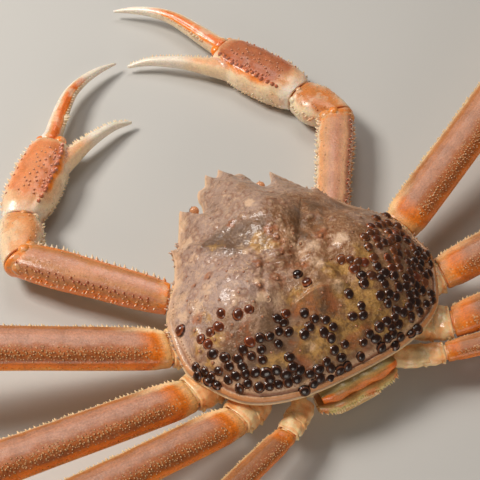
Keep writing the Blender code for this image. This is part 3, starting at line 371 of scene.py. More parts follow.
MOVING_FINGER = [(0.0573, 0.0012, 0.0, 0.0054, 0.0060), (0.063, 0.0010, 0.0002, 0.0050, 0.0056),
                 (0.073, 0.0012, 0.0004, 0.0049, 0.0052), (0.086, 0.0015, 0.0004, 0.0044, 0.0046),
                 (0.099, 0.0004, 0.0, 0.0036, 0.0038), (0.111, -0.0039, -0.0010, 0.0027, 0.0029),
                 (0.122, -0.0105, -0.0026, 0.0018, 0.0019), (0.130, -0.0172, -0.0044, 0.0007, 0.0008)]

FINGER_REACH = {"left": ((0.0030, 0.0021), (0.0039, -0.0003)),
                "right": ((0.0093, -0.0004), (0.0037, 0.0043))}

# Half width and half height of the soft skin at an arm's joints; at the hinge its place comes first

ARM_CUFFS = ((0.0064, 0.0062), (0.0084, 0.0076), (0.0090, 0.0076))
HINGE = (0.0570, 0.0010, 0.0082, 0.0070)

# Knobs at the end of an arm's segments: angle, share of the length and size

ARM_KNOBS = ((22.0, 0.965, 0.0038), (150.0, 0.955, 0.0046), (100.0, 0.97, 0.0036))
ARM_KNOB_LENGTH = 0.062
CARPUS_KNOB_SHARE = 0.55

# Knobs beside a moving finger's hinge: across, above and size

HINGE_ALONG = 0.0574
HINGE_KNOBS = ((-0.0060, 0.0042, 0.0033), (0.0058, 0.0030, 0.0026))

# Rows of spines on an arm: angle, number, first and last share of the length, height, darkness and wander

ARM_ROWS = {
    "merus": [
        (160.0, 24, 0.06, 0.96, 1.05, 0.1, 4.0), (174.0, 22, 0.1, 0.94, 0.8, 0.1, 6.0),
        (36.0, 18, 0.1, 0.95, 0.5, 0.9, 4.0), (46.0, 18, 0.1, 0.97, 0.56, 0.9, 4.0),
        (20.0, 20, 0.08, 0.95, 0.7, 0.1, 4.0), (4.0, 24, 0.06, 0.95, 0.85, 0.1, 5.0),
        (70.0, 12, 0.2, 0.9, 0.22, 0.8, 14.0), (128.0, 14, 0.1, 0.95, 0.35, 0.3, 10.0),
    ],
    "carpus": [
        (8.0, 10, 0.15, 0.88, 0.8, 0.0, 8.0), (45.0, 14, 0.2, 0.85, 0.35, 0.0, 12.0),
        (75.0, 16, 0.2, 0.9, 0.28, 0.0, 16.0), (170.0, 9, 0.2, 0.85, 0.8, 0.0, 9.0),
        (125.0, 14, 0.2, 0.9, 0.32, 0.0, 16.0), (25.0, 12, 0.2, 0.9, 0.6, 0.0, 8.0),
    ],
}

# Rows on a palm, as on an arm, with the share of a red tip last

PALM_ROWS = [
    (4.0, 17, 0.05, 0.97, 1.15, 0.05, 4.0, 0.0), (18.0, 14, 0.08, 0.96, 0.95, 0.05, 5.0, 0.0),
    (40.0, 7, 0.2, 0.86, 0.4, 0.9, 3.0, 0.2), (82.0, 11, 0.26, 0.78, 0.36, 0.7, 9.0, 0.5),
    (98.0, 16, 0.24, 0.84, 0.4, 0.7, 9.0, 0.5), (125.0, 13, 0.18, 0.92, 0.8, 0.8, 2.5, 0.8),
    (115.0, 13, 0.34, 0.88, 0.45, 0.8, 5.0, 0.6), (186.0, 18, 0.08, 0.7, 0.5, 0.0, 8.0, 0.0),
    (200.0, 16, 0.08, 0.72, 0.5, 0.0, 8.0, 0.0), (165.0, 8, 0.1, 0.6, 0.3, 0.0, 8.0, 0.0),
]

# Stage: the lights with place, size, power and colour

LIGHTS = (("key", (-0.60, 0.72, 1.00), 0.42, 15.0, (1.0, 0.95, 0.88)),
          ("low", (-0.50, -1.5, 0.42), 0.9, 8.5, (1.0, 0.93, 0.84)),
          ("top", (0.28, 0.62, 0.98), 0.50, 2.6, (1.0, 0.96, 0.92)))
LIGHT_AIM = (0.0, 0.02, 0.0)
WORLD_COLOUR = (1.0, 0.92, 0.83, 1.0)
WORLD_STRENGTH = 0.11
FLOOR_HALF = 6.0
FLOOR_LEVEL = -0.0002
FLOOR_COLOUR = (0.58, 0.57, 0.55, 1.0)
FLOOR_ROUGHNESS = 0.7


def tone(red, green, blue):
    """Linear colour of an sRGB one given in 0 to 255."""
    shares = [value / 255.0 for value in (red, green, blue)]
    return tuple(s / 12.92 if s <= 0.04045 else ((s + 0.055) / 1.055) ** 2.4 for s in shares)


def colour_property(name, description, default):
    """A colour that the user can change."""
    return FloatVectorProperty(name=name, description=description, subtype="COLOR", size=3,
                               min=0.0, max=1.0, default=default)


def length_property(name, description, default):
    """A length that the user can change."""
    return FloatProperty(name=name, description=description, unit="LENGTH", subtype="DISTANCE",
                         min=0.0, max=0.02, precision=5, default=default)


class SnowCrabSizes(bpy.types.PropertyGroup):
    """Sizes of what is finer than the solids"""

    egg_radius: length_property("Egg case radius", "Half width of a leech's egg case", 0.0023)
    egg_height: length_property("Egg case height", "How far an egg case stands off the shell", 0.0016)
    leg_spine: length_property("Leg spine", "Length of the spines of the widest leg", 0.0012)
    claw_spine: length_property("Claw spine", "Length of the spines of the claw arms", 0.0022)
    shell_lumps: length_property("Shell lumps", "Height of the shell's fine unevenness", 0.0003)
    facets: IntProperty(name="Facets", description="Points round a limb", min=16, max=96, default=44)


class SnowCrabColours(bpy.types.PropertyGroup):
    """Colours of the crab's surfaces"""

    shell: colour_property("Shell", "Warm brown of the shell's middle", tone(148, 99, 60))
    # The left side's greyish pink is made paler as painted sheen
    shell_cool: colour_property("Shell left", "Greyish pink of the shell's left side", tone(182, 150, 136))
    shell_front: colour_property("Shell front", "Brownish grey of the shell's front", tone(170, 136, 117))
    # Also the colour of the painted shade in the hollows
    shell_dark: colour_property("Shell hollows", "Brown of the shell's hollows", tone(98, 66, 38))
    shell_ochre: colour_property("Shell ochre", "Yellow-brown stains", tone(184, 138, 74))
    shell_rust: colour_property("Shell rust", "Rusty stains and tubercles", tone(146, 80, 38))
    # Also the colour of the painted glints
    shell_pale: colour_property("Shell rim", "Pale rim and flecks", tone(236, 196, 160))
    egg: colour_property("Egg case", "Nearly black egg cases", tone(98, 54, 32))
    egg_brown: colour_property("Brown egg case", "Brown egg cases", tone(164, 96, 52))
    egg_warm: colour_property("Warm egg case", "Reddish egg cases", tone(172, 84, 42))
    leg_mauve: colour_property("Leg top", "Pinkish brown of the legs' smooth band", tone(204, 145, 116))
    leg_rust: colour_property("Leg side", "Red-brown of the legs' rough band", tone(182, 102, 50))
    leg_orange: colour_property("Leg orange", "Orange of the legs' lower edge", tone(238, 126, 26))
    leg_front: colour_property("Leg front", "Tan of the legs' front strip", tone(194, 122, 68))
    cream: colour_property("Cream", "Membranes and joints", tone(252, 217, 166))
    palm_left: colour_property("Left palm", "Salmon of the left palm", tone(226, 137, 84))
    # Darker than the left palm partly as painted shade on the shaded right claw
    palm_right: colour_property("Right palm", "Mauve-red of the right palm", tone(188, 108, 68))
    arm_left: colour_property("Left arm", "Brownish top of the left claw arm", tone(196, 131, 80))
    arm_right: colour_property("Right arm", "Pinkish top of the right claw arm", tone(224, 168, 126))
    blush: colour_property("Blush", "Pinkish tan of the claws' margins", tone(238, 174, 122))
    knob: colour_property("Claw tubercles", "Dark red of the palms' tubercles", tone(178, 76, 38))
    finger: colour_property("Finger", "White of the finger tips", tone(250, 236, 218))
    stripe: colour_property("Finger stripe", "Orange-red stripe of the moving finger", tone(230, 112, 44))


# Shapes


def unit(vectors):
    """The same directions with a length of one."""
    return vectors / np.maximum(np.linalg.norm(vectors, axis=-1, keepdims=True), 1e-12)


def smooth_step(low, high, values):
    """A smooth rise from 0 at low to 1 at high."""
    share = np.clip((values - low) / (high - low), 0.0, 1.0)
    return share * share * (3.0 - 2.0 * share)


def bump_at(values, centre, width):
    """A round bump of height one."""
    return np.exp(-(((values - centre) / width) ** 2))


class Skin:
    """Points, faces and shading values gathered for one piece.

    Place holds the share of the length, the angle round in turns and the kind of limb. Growth
    holds the height on a spine, how dark its root is and a stain. Where a piece keeps other
    masks in them, its material reads them under their own names.
    """

    def __init__(self):
        self.points = []
        self.faces = []
        self.place = []
        self.growth = []
        self.count = 0

    def add(self, points, faces, place, growth):
        """Take in one surface."""
        self.points.append(points)
        self.faces += [np.asarray(part, dtype=np.int64) + self.count for part in faces if len(part)]
        self.place.append(np.broadcast_to(place, (len(points), 3)))
        self.growth.append(np.broadcast_to(growth, (len(points), 3)))
        self.count += len(points)

    def mesh(self, name):
        """Mesh with both shading values as attributes."""
        mesh = bpy.data.meshes.new(name)
        points = np.concatenate(self.points)
        points[:, 2] = np.maximum(points[:, 2], 0.0)
        corners = np.concatenate([part.ravel() for part in self.faces])
        sizes = np.concatenate([np.full(len(part), part.shape[1]) for part in self.faces])
        mesh.vertices.add(len(points))
        mesh.vertices.foreach_set("co", points.astype(np.float32).ravel())
        mesh.loops.add(len(corners))
        mesh.loops.foreach_set("vertex_index", corners.astype(np.int32))
        mesh.polygons.add(len(sizes))
        starts = np.concatenate([[0], np.cumsum(sizes)[:-1]])
        mesh.polygons.foreach_set("loop_start", starts.astype(np.int32))
        mesh.update(calc_edges=True)
        mesh.shade_smooth()
        for label, parts in (("place", self.place), ("growth", self.growth)):
            values = np.concatenate(parts).astype(np.float32)
            mesh.attributes.new(label, "FLOAT_VECTOR", "POINT").data.foreach_set("vector", values.ravel())
        return mesh

    def piece(self, name, material, slot, *nodes):
        """Object that rides on the crab and stands for its nodes."""
        return dress(bpy.data.objects.new(name, self.mesh(name)), material, slot, *nodes)


def dress(piece, material, slot, *nodes):
    """Link a piece, give it its finish, and let it ride and stand for its nodes."""
    if piece.name not in bpy.context.scene.collection.objects:
        bpy.context.scene.collection.objects.link(piece)
    piece.data.materials.clear()
    piece.data.materials.append(material)
    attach(piece, "root")
    if nodes:
        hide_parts(*nodes)
    return piece


def grid_faces(rows, columns, flip=False, closed=True):
    """Four-cornered faces between rows of points."""
    row, column = np.meshgrid(np.arange(rows - 1), np.arange(columns if closed else columns - 1),
                              indexing="ij")
    here = row * columns + column
    beside = row * columns + (column + 1) % columns
    faces = np.stack([here, beside, beside + columns, here + columns], axis=-1).reshape(-1, 4)
    return faces[:, ::-1] if flip else faces


def fan_faces(ring, pole, flip=False):
    """Triangles from a ring of point numbers to a pole."""
    ring = np.asarray(ring)
    faces = np.stack([ring, np.roll(ring, -1), np.full(len(ring), pole)], axis=-1)
    return faces[:, ::-1] if flip else faces


class Limb:
    """One tapering segment: its fine sections, and any point on its surface.

    Angles are in degrees: 0 at the rear or outer margin, 90 on top and 180 at the front or
    inner margin.
    """

    def __init__(self, stations, side, relief=None, squareness=0.8):
        self.rows = np.array([[*centre, wide, high] for centre, wide, high in stations])
        steps = np.linalg.norm(np.diff(self.rows[:, :3], axis=0), axis=1)
        self.marks = np.concatenate([[0.0], np.cumsum(steps)])
        self.length = self.marks[-1]
        self.slopes = np.gradient(self.rows, self.marks, axis=0)
        self.turn = 1.0 if side == "right" else -1.0
        self.relief = relief
        self.squareness = squareness

    def section(self, along):
        """Centre, half width, half height and run at shares of the length."""
        place = np.clip(along, 0.0, 1.0) * self.length
        index = np.clip(np.searchsorted(self.marks, place, side="right") - 1, 0, len(self.marks) - 2)
        span = (self.marks[index + 1] - self.marks[index])[:, None]
        t = (place[:, None] - self.marks[index][:, None]) / span
        start, end = self.rows[index], self.rows[index + 1]
        leave, arrive = self.slopes[index] * span, self.slopes[index + 1] * span
        value = ((2 * t ** 3 - 3 * t ** 2 + 1) * start + (t ** 3 - 2 * t ** 2 + t) * leave
                 + (3 * t ** 2 - 2 * t ** 3) * end + (t ** 3 - t ** 2) * arrive)
        slope = ((6 * t ** 2 - 6 * t) * start + (3 * t ** 2 - 4 * t + 1) * leave
                 + (6 * t - 6 * t ** 2) * end + (3 * t ** 2 - 2 * t) * arrive)
        wide, high = np.maximum(value[:, 3], 1e-4), np.maximum(value[:, 4], 1e-4)
        return value[:, :3], wide, high, unit(slope[:, :3])

    def surface(self, along, angle):
        """Points at shares of the length and angles, their outward directions and runs."""
        along, angle = np.broadcast_arrays(np.asarray(along, float), np.asarray(angle, float))
        shape = along.shape
        along, angle = along.ravel(), angle.ravel()
        centre, wide, high, run = self.section(along)
        right = unit(np.cross(run, UP))
        top = np.cross(right, run)
        right = right * self.turn
        cos, sin = np.cos(np.radians(angle)), np.sin(np.radians(angle))
        across = np.sign(cos) * np.abs(cos) ** self.squareness * wide
        above = np.sign(sin) * np.abs(sin) ** self.squareness * high
        out = unit(right * (cos / wide)[:, None] + top * (sin / high)[:, None])
        points = centre + right * across[:, None] + top * above[:, None]
        if self.relief:
            points = points + out * self.relief(along, angle, self.length)[:, None]
        return points.reshape(*shape, 3), out.reshape(*shape, 3), run.reshape(*shape, 3)


# Rings that close the end of a limb: size, and how far each is pushed out in metres

END_ROLL = ((0.975, 0.00025), (0.92, 0.00040), (0.84, 0.00025), (0.78, -0.0006), (0.50, -0.0008))


def tube(skin, limb, facets, spacing, cuts=(None, None), pulls=(0.0, 0.0), growth=(0.0, 0.0, 0.0)):
    """Closed fine surface of a limb, its ends slid into the planes of its joints."""
    first, last = pulls[0] / limb.length, 1.0 - pulls[1] / limb.length
    count = max(int(limb.length / spacing), 8)
    along = np.linspace(first, last, count + 1)
    angle = (np.arange(facets) + 0.5) * 360.0 / facets
    points, _, runs = limb.surface(along[:, None], angle[None, :])
    centre, wide, _, run = limb.section(along)
    for cut, end in ((cuts[0], 0), (cuts[1], -1)):
        if cut is not None:
            reach = wide[end] * 1.6
            near = np.clip(1.0 - np.abs(along - along[end]) * limb.length / reach, 0.0, 1.0)
            slide = ((centre[:, None, :] - points) @ np.array(cut)) / (run @ np.array(cut))[:, None]
            points = points + runs * (slide * near[:, None])[..., None]
    rings, marks = [points], [along]
    for end, sign in ((0, -1.0), (-1, 1.0)):
        middle = points[end].mean(axis=0)
        for scale, push in END_ROLL:
            ring = middle + (points[end] - middle) * scale + run[end] * sign * push
            rings.insert(0 if end == 0 else len(rings), ring[None])
            marks.insert(0 if end == 0 else len(marks), along[[end]])
    rings = np.concatenate(rings)
    marks = np.concatenate(marks)
    total = len(rings)
    poles = np.array([rings[0].mean(axis=0), rings[-1].mean(axis=0)])
    flip = limb.turn > 0
    faces = [grid_faces(total, facets, flip), fan_faces(range(facets), total * facets, not flip),
             fan_faces(range((total - 1) * facets, total * facets), total * facets + 1, flip)]
    around = ((angle + 90.0) % 360.0) / 360.0
    place = np.stack([np.repeat(marks, facets), np.tile(around, total), np.zeros(total * facets)], axis=-1)
    ends = [[0.0, 0.5, 0.0], [1.0, 0.5, 0.0]]
    skin.add(np.concatenate([rings.reshape(-1, 3), poles]),
             faces, np.concatenate([place, ends]), growth)


# Profiles of spines and knobs from root to tip: shares of the height and of the radius

THORN = ((-0.5, 1.0), (0.10, 0.86), (0.42, 0.50), (0.78, 0.22))
KNOB = ((-0.5, 1.25), (0.06, 1.05), (0.34, 0.72), (0.68, 0.48), (0.92, 0.22))
KNUCKLE = ((-0.2, 1.0), (0.25, 1.0), (0.55, 0.88), (0.80, 0.62), (0.95, 0.30))
SPUR = ((-0.2, 1.0), (0.3, 0.80), (0.6, 0.52), (0.85, 0.24))


def thorns(skin, roots, outs, length, radius, place, dark, profile=THORN, sides=6, stain=0.0):
    """Many spines in one surface: rings that narrow to a tip over each root."""
    count = len(roots)
    if not count:
        return
    length, radius, dark = (np.broadcast_to(value, count).astype(float) for value in (length, radius, dark))
    helper = np.where(np.abs(outs[:, 2:]) < 0.9, [0.0, 0.0, 1.0], [1.0, 0.0, 0.0])
    across = unit(np.cross(outs, helper))
    other = np.cross(outs, across)
    turn = 2.0 * np.pi * np.arange(sides) / sides
    circle = across[:, None] * np.cos(turn)[None, :, None] + other[:, None] * np.sin(turn)[None, :, None]
    rings = []
    for height, wide in profile:
        lift = radius * height * 2.0 if height < 0.0 else length * height
        middles = roots[:, None] + outs[:, None] * lift[:, None, None]
        rings.append(middles + circle * (radius * wide)[:, None, None])
    tips = roots + outs * length[:, None]
    block = np.concatenate([np.stack(rings, axis=1).reshape(count, -1, 3), tips[:, None]], axis=1)
    each = len(profile) * sides + 1
    quads = grid_faces(len(profile), sides)
    top = fan_faces(range((len(profile) - 1) * sides, len(profile) * sides), each - 1)
    base = np.arange(sides)[::-1][None, :]
    offsets = (np.arange(count) * each)[:, None, None]
    faces = [(part[None] + offsets).reshape(-1, part.shape[1]) for part in (quads, top, base)]
    heights = np.concatenate([np.repeat([max(height, 0.02) for height, _ in profile], sides), [1.0]])
    growth = np.stack([np.tile(heights, count), np.repeat(dark, each), np.full(count * each, stain)],
                      axis=-1)
    skin.add(block.reshape(-1, 3), faces, np.repeat(np.broadcast_to(place, (count, 3)), each, axis=0),
             growth)


def grow(skin, limb, along, angle, length, radius, dark, lean=0.35, profile=THORN, sides=6, stain=0.0):
    """Spines at shares of a limb's length and angles, leaning toward its tip."""
    roots, outs, runs = limb.surface(along, angle)
    around = ((angle + 90.0) % 360.0) / 360.0
    place = np.stack([along, around, np.zeros(len(along))], axis=-1)
    thorns(skin, roots, unit(outs + runs * lean), length, radius, place, dark, profile, sides, stain)


def spine_row(draw, angle, count, first, last, wander=2.0):
    """Shares and angles of one uneven row of spines."""
    uneven = draw.uniform(-0.3, 0.3, count) * (last - first) / max(count, 1)
    along = np.linspace(first, last, count) + uneven
    return along, angle + draw.uniform(-wander, wander, count)


def heading(azimuth, pitch):
    """Direction at an azimuth from the front toward the right and a pitch above level."""
    turn, rise = math.radians(azimuth), math.radians(pitch)
    return Vector((math.sin(turn) * math.cos(rise), math.cos(turn) * math.cos(rise), math.sin(rise)))


def mirrored(point, side):
    """A place given for the right side, on either side."""
    return Vector((point[0] if side == "right" else -point[0], point[1], point[2]))


def joint_normals(path):
    """Normal of the cut at each joint of a limb, halfway between its two segments."""
    runs = [(end - start).normalized() for start, end in zip(path, path[1:])]
    inner = [(before + after).normalized() for before, after in zip(runs, runs[1:])]
    return [runs[0]] + inner + [None]


def straight_stations(start, end, shape, half_width=1.0, half_height=1.0):
    """Stations along a straight segment, from shares of its length and sizes."""
    return [(start.lerp(end, share), wide * half_width, high * half_height)
            for share, wide, high in shape]


def leg_path(number, side):
    """Joints of a walking leg from the body to its tip."""
    place, shares = LEG_PLACES[number], LEG_SHARES[number]
    sign = 1.0 if side == "right" else -1.0
    x, y, azimuth = place[side]
    turn = place["turn"]
    lengths = {key: share * CARAPACE_WIDTH for key, share in shares.items()}
    base = Vector((x, y, place["height"]))
    knee = base + heading(sign * azimuth, LEG_RISE) * lengths["merus"]
    shin = knee + heading(sign * (azimuth + turn), -CARPUS_DROP) * lengths["carpus"]
    ankle_height = ANKLE_HEIGHT * shares["width"] / LEG_SHARES[1]["width"]
    fall = -math.degrees(math.asin((shin.z - ankle_height) / lengths["propodus"]))
    ankle = shin + heading(sign * (azimuth + turn * 2), fall) * lengths["propodus"]
    fall = -math.degrees(math.asin((ankle_height - TIP_HEIGHT) / lengths["dactyl"]))
    tip = ankle + heading(sign * (azimuth + turn * 3), fall) * lengths["dactyl"]
    return [mirrored(place["body"], side), base, knee, shin, ankle, tip]


# Shading


class Weave:
    """Writes a node tree in short steps. A value is a number, a colour or a socket."""

    def __init__(self, tree):
        self.tree = tree

    def put(self, socket, value):
        """Set a socket to a value, or link it."""
        if isinstance(value, bpy.types.NodeSocket):
            self.tree.links.new(value, socket)
        elif socket.type == "RGBA":
            socket.default_value = (*value[:3], 1.0)
        else:
            socket.default_value = value

    def node(self, kind, inputs=None, **settings):
        """Shader node with its settings and inputs."""
        node = self.tree.nodes.new("ShaderNode" + kind)
        for key, value in settings.items():
            setattr(node, key, value)
        for key, value in (inputs or {}).items():
            self.put(node.inputs[key], value)
        return node

    def maths(self, operation, first, second=0.0, third=0.0):
        """Result of a Math node."""
        return self.node("Math", {0: first, 1: second, 2: third}, operation=operation).outputs[0]

    def times(self, first, second):
        """Product of two numbers."""
        return self.maths("MULTIPLY", first, second)

    def plus(self, first, second):
        """Sum of two numbers."""
        return self.maths("ADD", first, second)

    def minus(self, first, second):
        """Difference of two numbers."""
        return self.maths("SUBTRACT", first, second)

    def scaled(self, value, factor, step):
        """A number times a factor, plus a step."""
        return self.maths("MULTIPLY_ADD", value, factor, step)

    def tint(self, skin, colour, mask, strength):
        """A colour over a skin, as strong as its mask."""
        return self.mix(self.times(mask, strength), skin, colour)

    def specks(self, scale, share, size):
        """Mask of small round specks."""
        return self.group(speck_group(), {"Scale": scale, "Share": share, "Size": size})["Mask"]

    def mottled(self, skin, depth):
        """Skin with slow and fine changes of tone."""
        return self.group(mottle_group(), {"Skin": skin, "Depth": depth})["Colour"]

    def spined(self, skin, root, tip, knob):
        """Skin with the colours of its spines."""
        return self.group(spine_group(), {"Skin": skin, "Root": root, "Tip": tip, "Knob": knob})["Colour"]

    def mix(self, share, first, second, blend="MIX"):
        """Mix of two colours."""
        node = self.node("Mix", data_type="RGBA", blend_type=blend)
        for index, value in ((0, share), (6, first), (7, second)):
            self.put(node.inputs[index], value)
        return node.outputs[2]

    def span(self, value, low, high, to_low=0.0, to_high=1.0):
        """Smooth rise from one value to another between two limits."""
        inputs = {"Value": value, "From Min": low, "From Max": high, "To Min": to_low, "To Max": to_high}
        return self.node("MapRange", inputs, interpolation_type="SMOOTHSTEP").outputs[0]

    def band(self, value, low, high, soft):
        """One between two limits, with soft edges."""
        return self.maths("MULTIPLY", self.span(value, low - soft, low + soft),
                          self.span(value, high - soft, high + soft, 1.0, 0.0))

    def ramp(self, value, stops):
        """Colour ramp of (place, colour)."""
        node = self.node("ValToRGB", {"Fac": value})
        ramp = node.color_ramp
        ramp.interpolation = "EASE"
        while len(ramp.elements) < len(stops):
            ramp.elements.new(1.0)
        for element, (place, colour) in zip(ramp.elements, stops):
            element.position = place
            element.color = (*colour[:3], 1.0)
        return node.outputs["Color"]

    def place(self):
        """Position on the crab in metres."""
        return self.node("TexCoord").outputs["Object"]

    def noise(self, scale, detail=3.0, vector=None, rough=0.55):
        """Noise value from 0 to 1."""
        inputs = {"Vector": vector or self.place(), "Scale": scale, "Detail": detail, "Roughness": rough}
        return self.node("TexNoise", inputs).outputs["Fac"]

    def attribute(self, name):
        """The three values of a mesh attribute."""
        vector = self.node("Attribute", attribute_name=name).outputs["Vector"]
        return self.node("SeparateXYZ", {0: vector}).outputs[:]

    def group(self, group, inputs):
        """Outputs of a node group."""
        node = self.node("Group", node_tree=group)
        for key, value in inputs.items():
            self.put(node.inputs[key], value)
        return node.outputs


def shader_group(name, inputs, outputs, write):
    """Node group built once from its sockets and the function that fills it."""
    group = bpy.data.node_groups.get(name)
    if group:
        return group
    group = bpy.data.node_groups.new(name, "ShaderNodeTree")
    for label, kind, default in inputs:
        socket = group.interface.new_socket(label, in_out="INPUT", socket_type="NodeSocket" + kind)
        socket.default_value = default
    for label, kind in outputs:
        group.interface.new_socket(label, in_out="OUTPUT", socket_type="NodeSocket" + kind)
    entry = group.nodes.new("NodeGroupInput").outputs
    leave = group.nodes.new("NodeGroupOutput").inputs
    weave = Weave(group)
    for label, socket in write(weave, entry).items():
        group.links.new(socket, leave[label])
    return group


def grain_group():
    """Fine unevenness of chitin: a height, a slow tone and pores."""
    def write(weave, entry):
        coarse = weave.noise(entry["Scale"], 4.0)
        pores = weave.node("TexVoronoi", {"Vector": weave.place(),
                                          "Scale": weave.times(entry["Scale"], 2.2)})
        pits = weave.span(pores.outputs["Distance"], 0.0, 0.35)
        slow = weave.noise(weave.times(entry["Scale"], 0.16), 4.0)
        height = weave.plus(weave.times(coarse, 0.7), weave.times(pits, entry["Pores"]))
        return {"Height": height, "Tone": slow, "Pits": pits}
    return shader_group("chitin_grain", [("Scale", "Float", 500.0), ("Pores", "Float", 0.25)],
                        [("Height", "Float"), ("Tone", "Float"), ("Pits", "Float")], write)


def speck_group():
    """Small round specks, a share of all places."""
    def write(weave, entry):
        dots = weave.node("TexVoronoi", {"Vector": weave.place(), "Scale": entry["Scale"]})
        pick = weave.node("SeparateColor", {0: dots.outputs["Color"]}).outputs[0]
        there = weave.maths("LESS_THAN", pick, entry["Share"])
        size = weave.span(dots.outputs["Distance"], entry["Size"], weave.times(entry["Size"], 0.5))
        return {"Mask": weave.times(there, size)}
    sizes = [("Scale", "Float", 400.0), ("Share", "Float", 0.5), ("Size", "Float", 0.35)]
    return shader_group("specks", sizes, [("Mask", "Float")], write)


def mottle_group():
    """Mottling of a skin: slow and fine changes of tone, and streaks along a limb."""
    def write(weave, entry):
        along, around, _ = weave.attribute("place")
        lengthwise = weave.node("CombineXYZ", {0: weave.times(along, 26.0),
                                               1: weave.times(around, 95.0)}).outputs[0]
        streak = weave.noise(1.0, 4.0, lengthwise)
        fine = weave.noise(1100.0, 3.0)
        slow = weave.noise(140.0, 4.0)
        total = weave.plus(weave.plus(weave.times(streak, 0.8), fine), slow)
        share = weave.span(total, 1.05, 1.75, weave.minus(1.0, entry["Depth"]),
                           weave.plus(1.0, weave.times(entry["Depth"], 0.8)))
        tint = weave.node("CombineXYZ", {0: share, 1: share, 2: share}).outputs[0]
        return {"Colour": weave.mix(1.0, entry["Skin"], tint, "MULTIPLY"), "Streak": streak}
    return shader_group("chitin_mottle", [("Skin", "Color", (0.5, 0.3, 0.2, 1.0)), ("Depth", "Float", 0.2)],
                        [("Colour", "Color"), ("Streak", "Float")], write)


def spine_group():
    """Colour of spines over the skin: a dark root and a pale or a dark tip."""
    def write(weave, entry):
        height, dark, knob = weave.attribute("growth")
        root = weave.mix(dark, entry["Skin"], entry["Root"])
        tip = weave.mix(knob, entry["Tip"], entry["Knob"])
        body = weave.mix(weave.span(height, 0.25, 0.85), root, tip)
        there = weave.maths("GREATER_THAN", height, 0.001)
        return {"Colour": weave.mix(there, entry["Skin"], body)}
    pale, dull = (0.9, 0.7, 0.5, 1.0), (0.4, 0.1, 0.05, 1.0)
    tints = (("Skin", pale), ("Root", dull), ("Tip", pale), ("Knob", dull))
    return shader_group("spine_colour", [(label, "Color", tint) for label, tint in tints],
                        [("Colour", "Color")], write)


def finish_material(name, colour, rough, height, depth, coat=0.0, coat_rough=0.12, flesh=0.0,
                    flesh_scale=0.002, shine=0.5):
    """Material from a function that gives a colour, and values of roughness and height."""
    known = bpy.data.materials.get(name)
    if known:
        return known
    material = bpy.data.materials.new(name)
    material.use_nodes = True
    weave = Weave(material.node_tree)
    shader = material.node_tree.nodes["Principled BSDF"]
    grain = weave.group(grain_group(), {"Scale": height, "Pores": 0.25})
    weave.put(shader.inputs["Base Color"], colour(weave))
    low, high = rough
    weave.put(shader.inputs["Roughness"], weave.span(grain["Tone"], 0.3, 0.7, low, high))
    bump = weave.node("Bump", {"Height": grain["Height"], "Strength": 1.0, "Distance": depth})
    weave.put(shader.inputs["Normal"], bump.outputs[0])
    shader.inputs["Specular IOR Level"].default_value = shine
    shader.inputs["Coat Weight"].default_value = coat
    shader.inputs["Coat Roughness"].default_value = coat_rough
    shader.inputs["Subsurface Weight"].default_value = flesh
    shader.inputs["Subsurface Scale"].default_value = flesh_scale
    shader.inputs["Subsurface Radius"].default_value = (1.0, 0.45, 0.2)
    return material


def shift(colour, factor, warm=0.0):
    """A lighter or darker, warmer or cooler version of a colour."""
    return (colour[0] * factor * (1.0 + warm), colour[1] * factor, colour[2] * factor * (1.0 - warm))


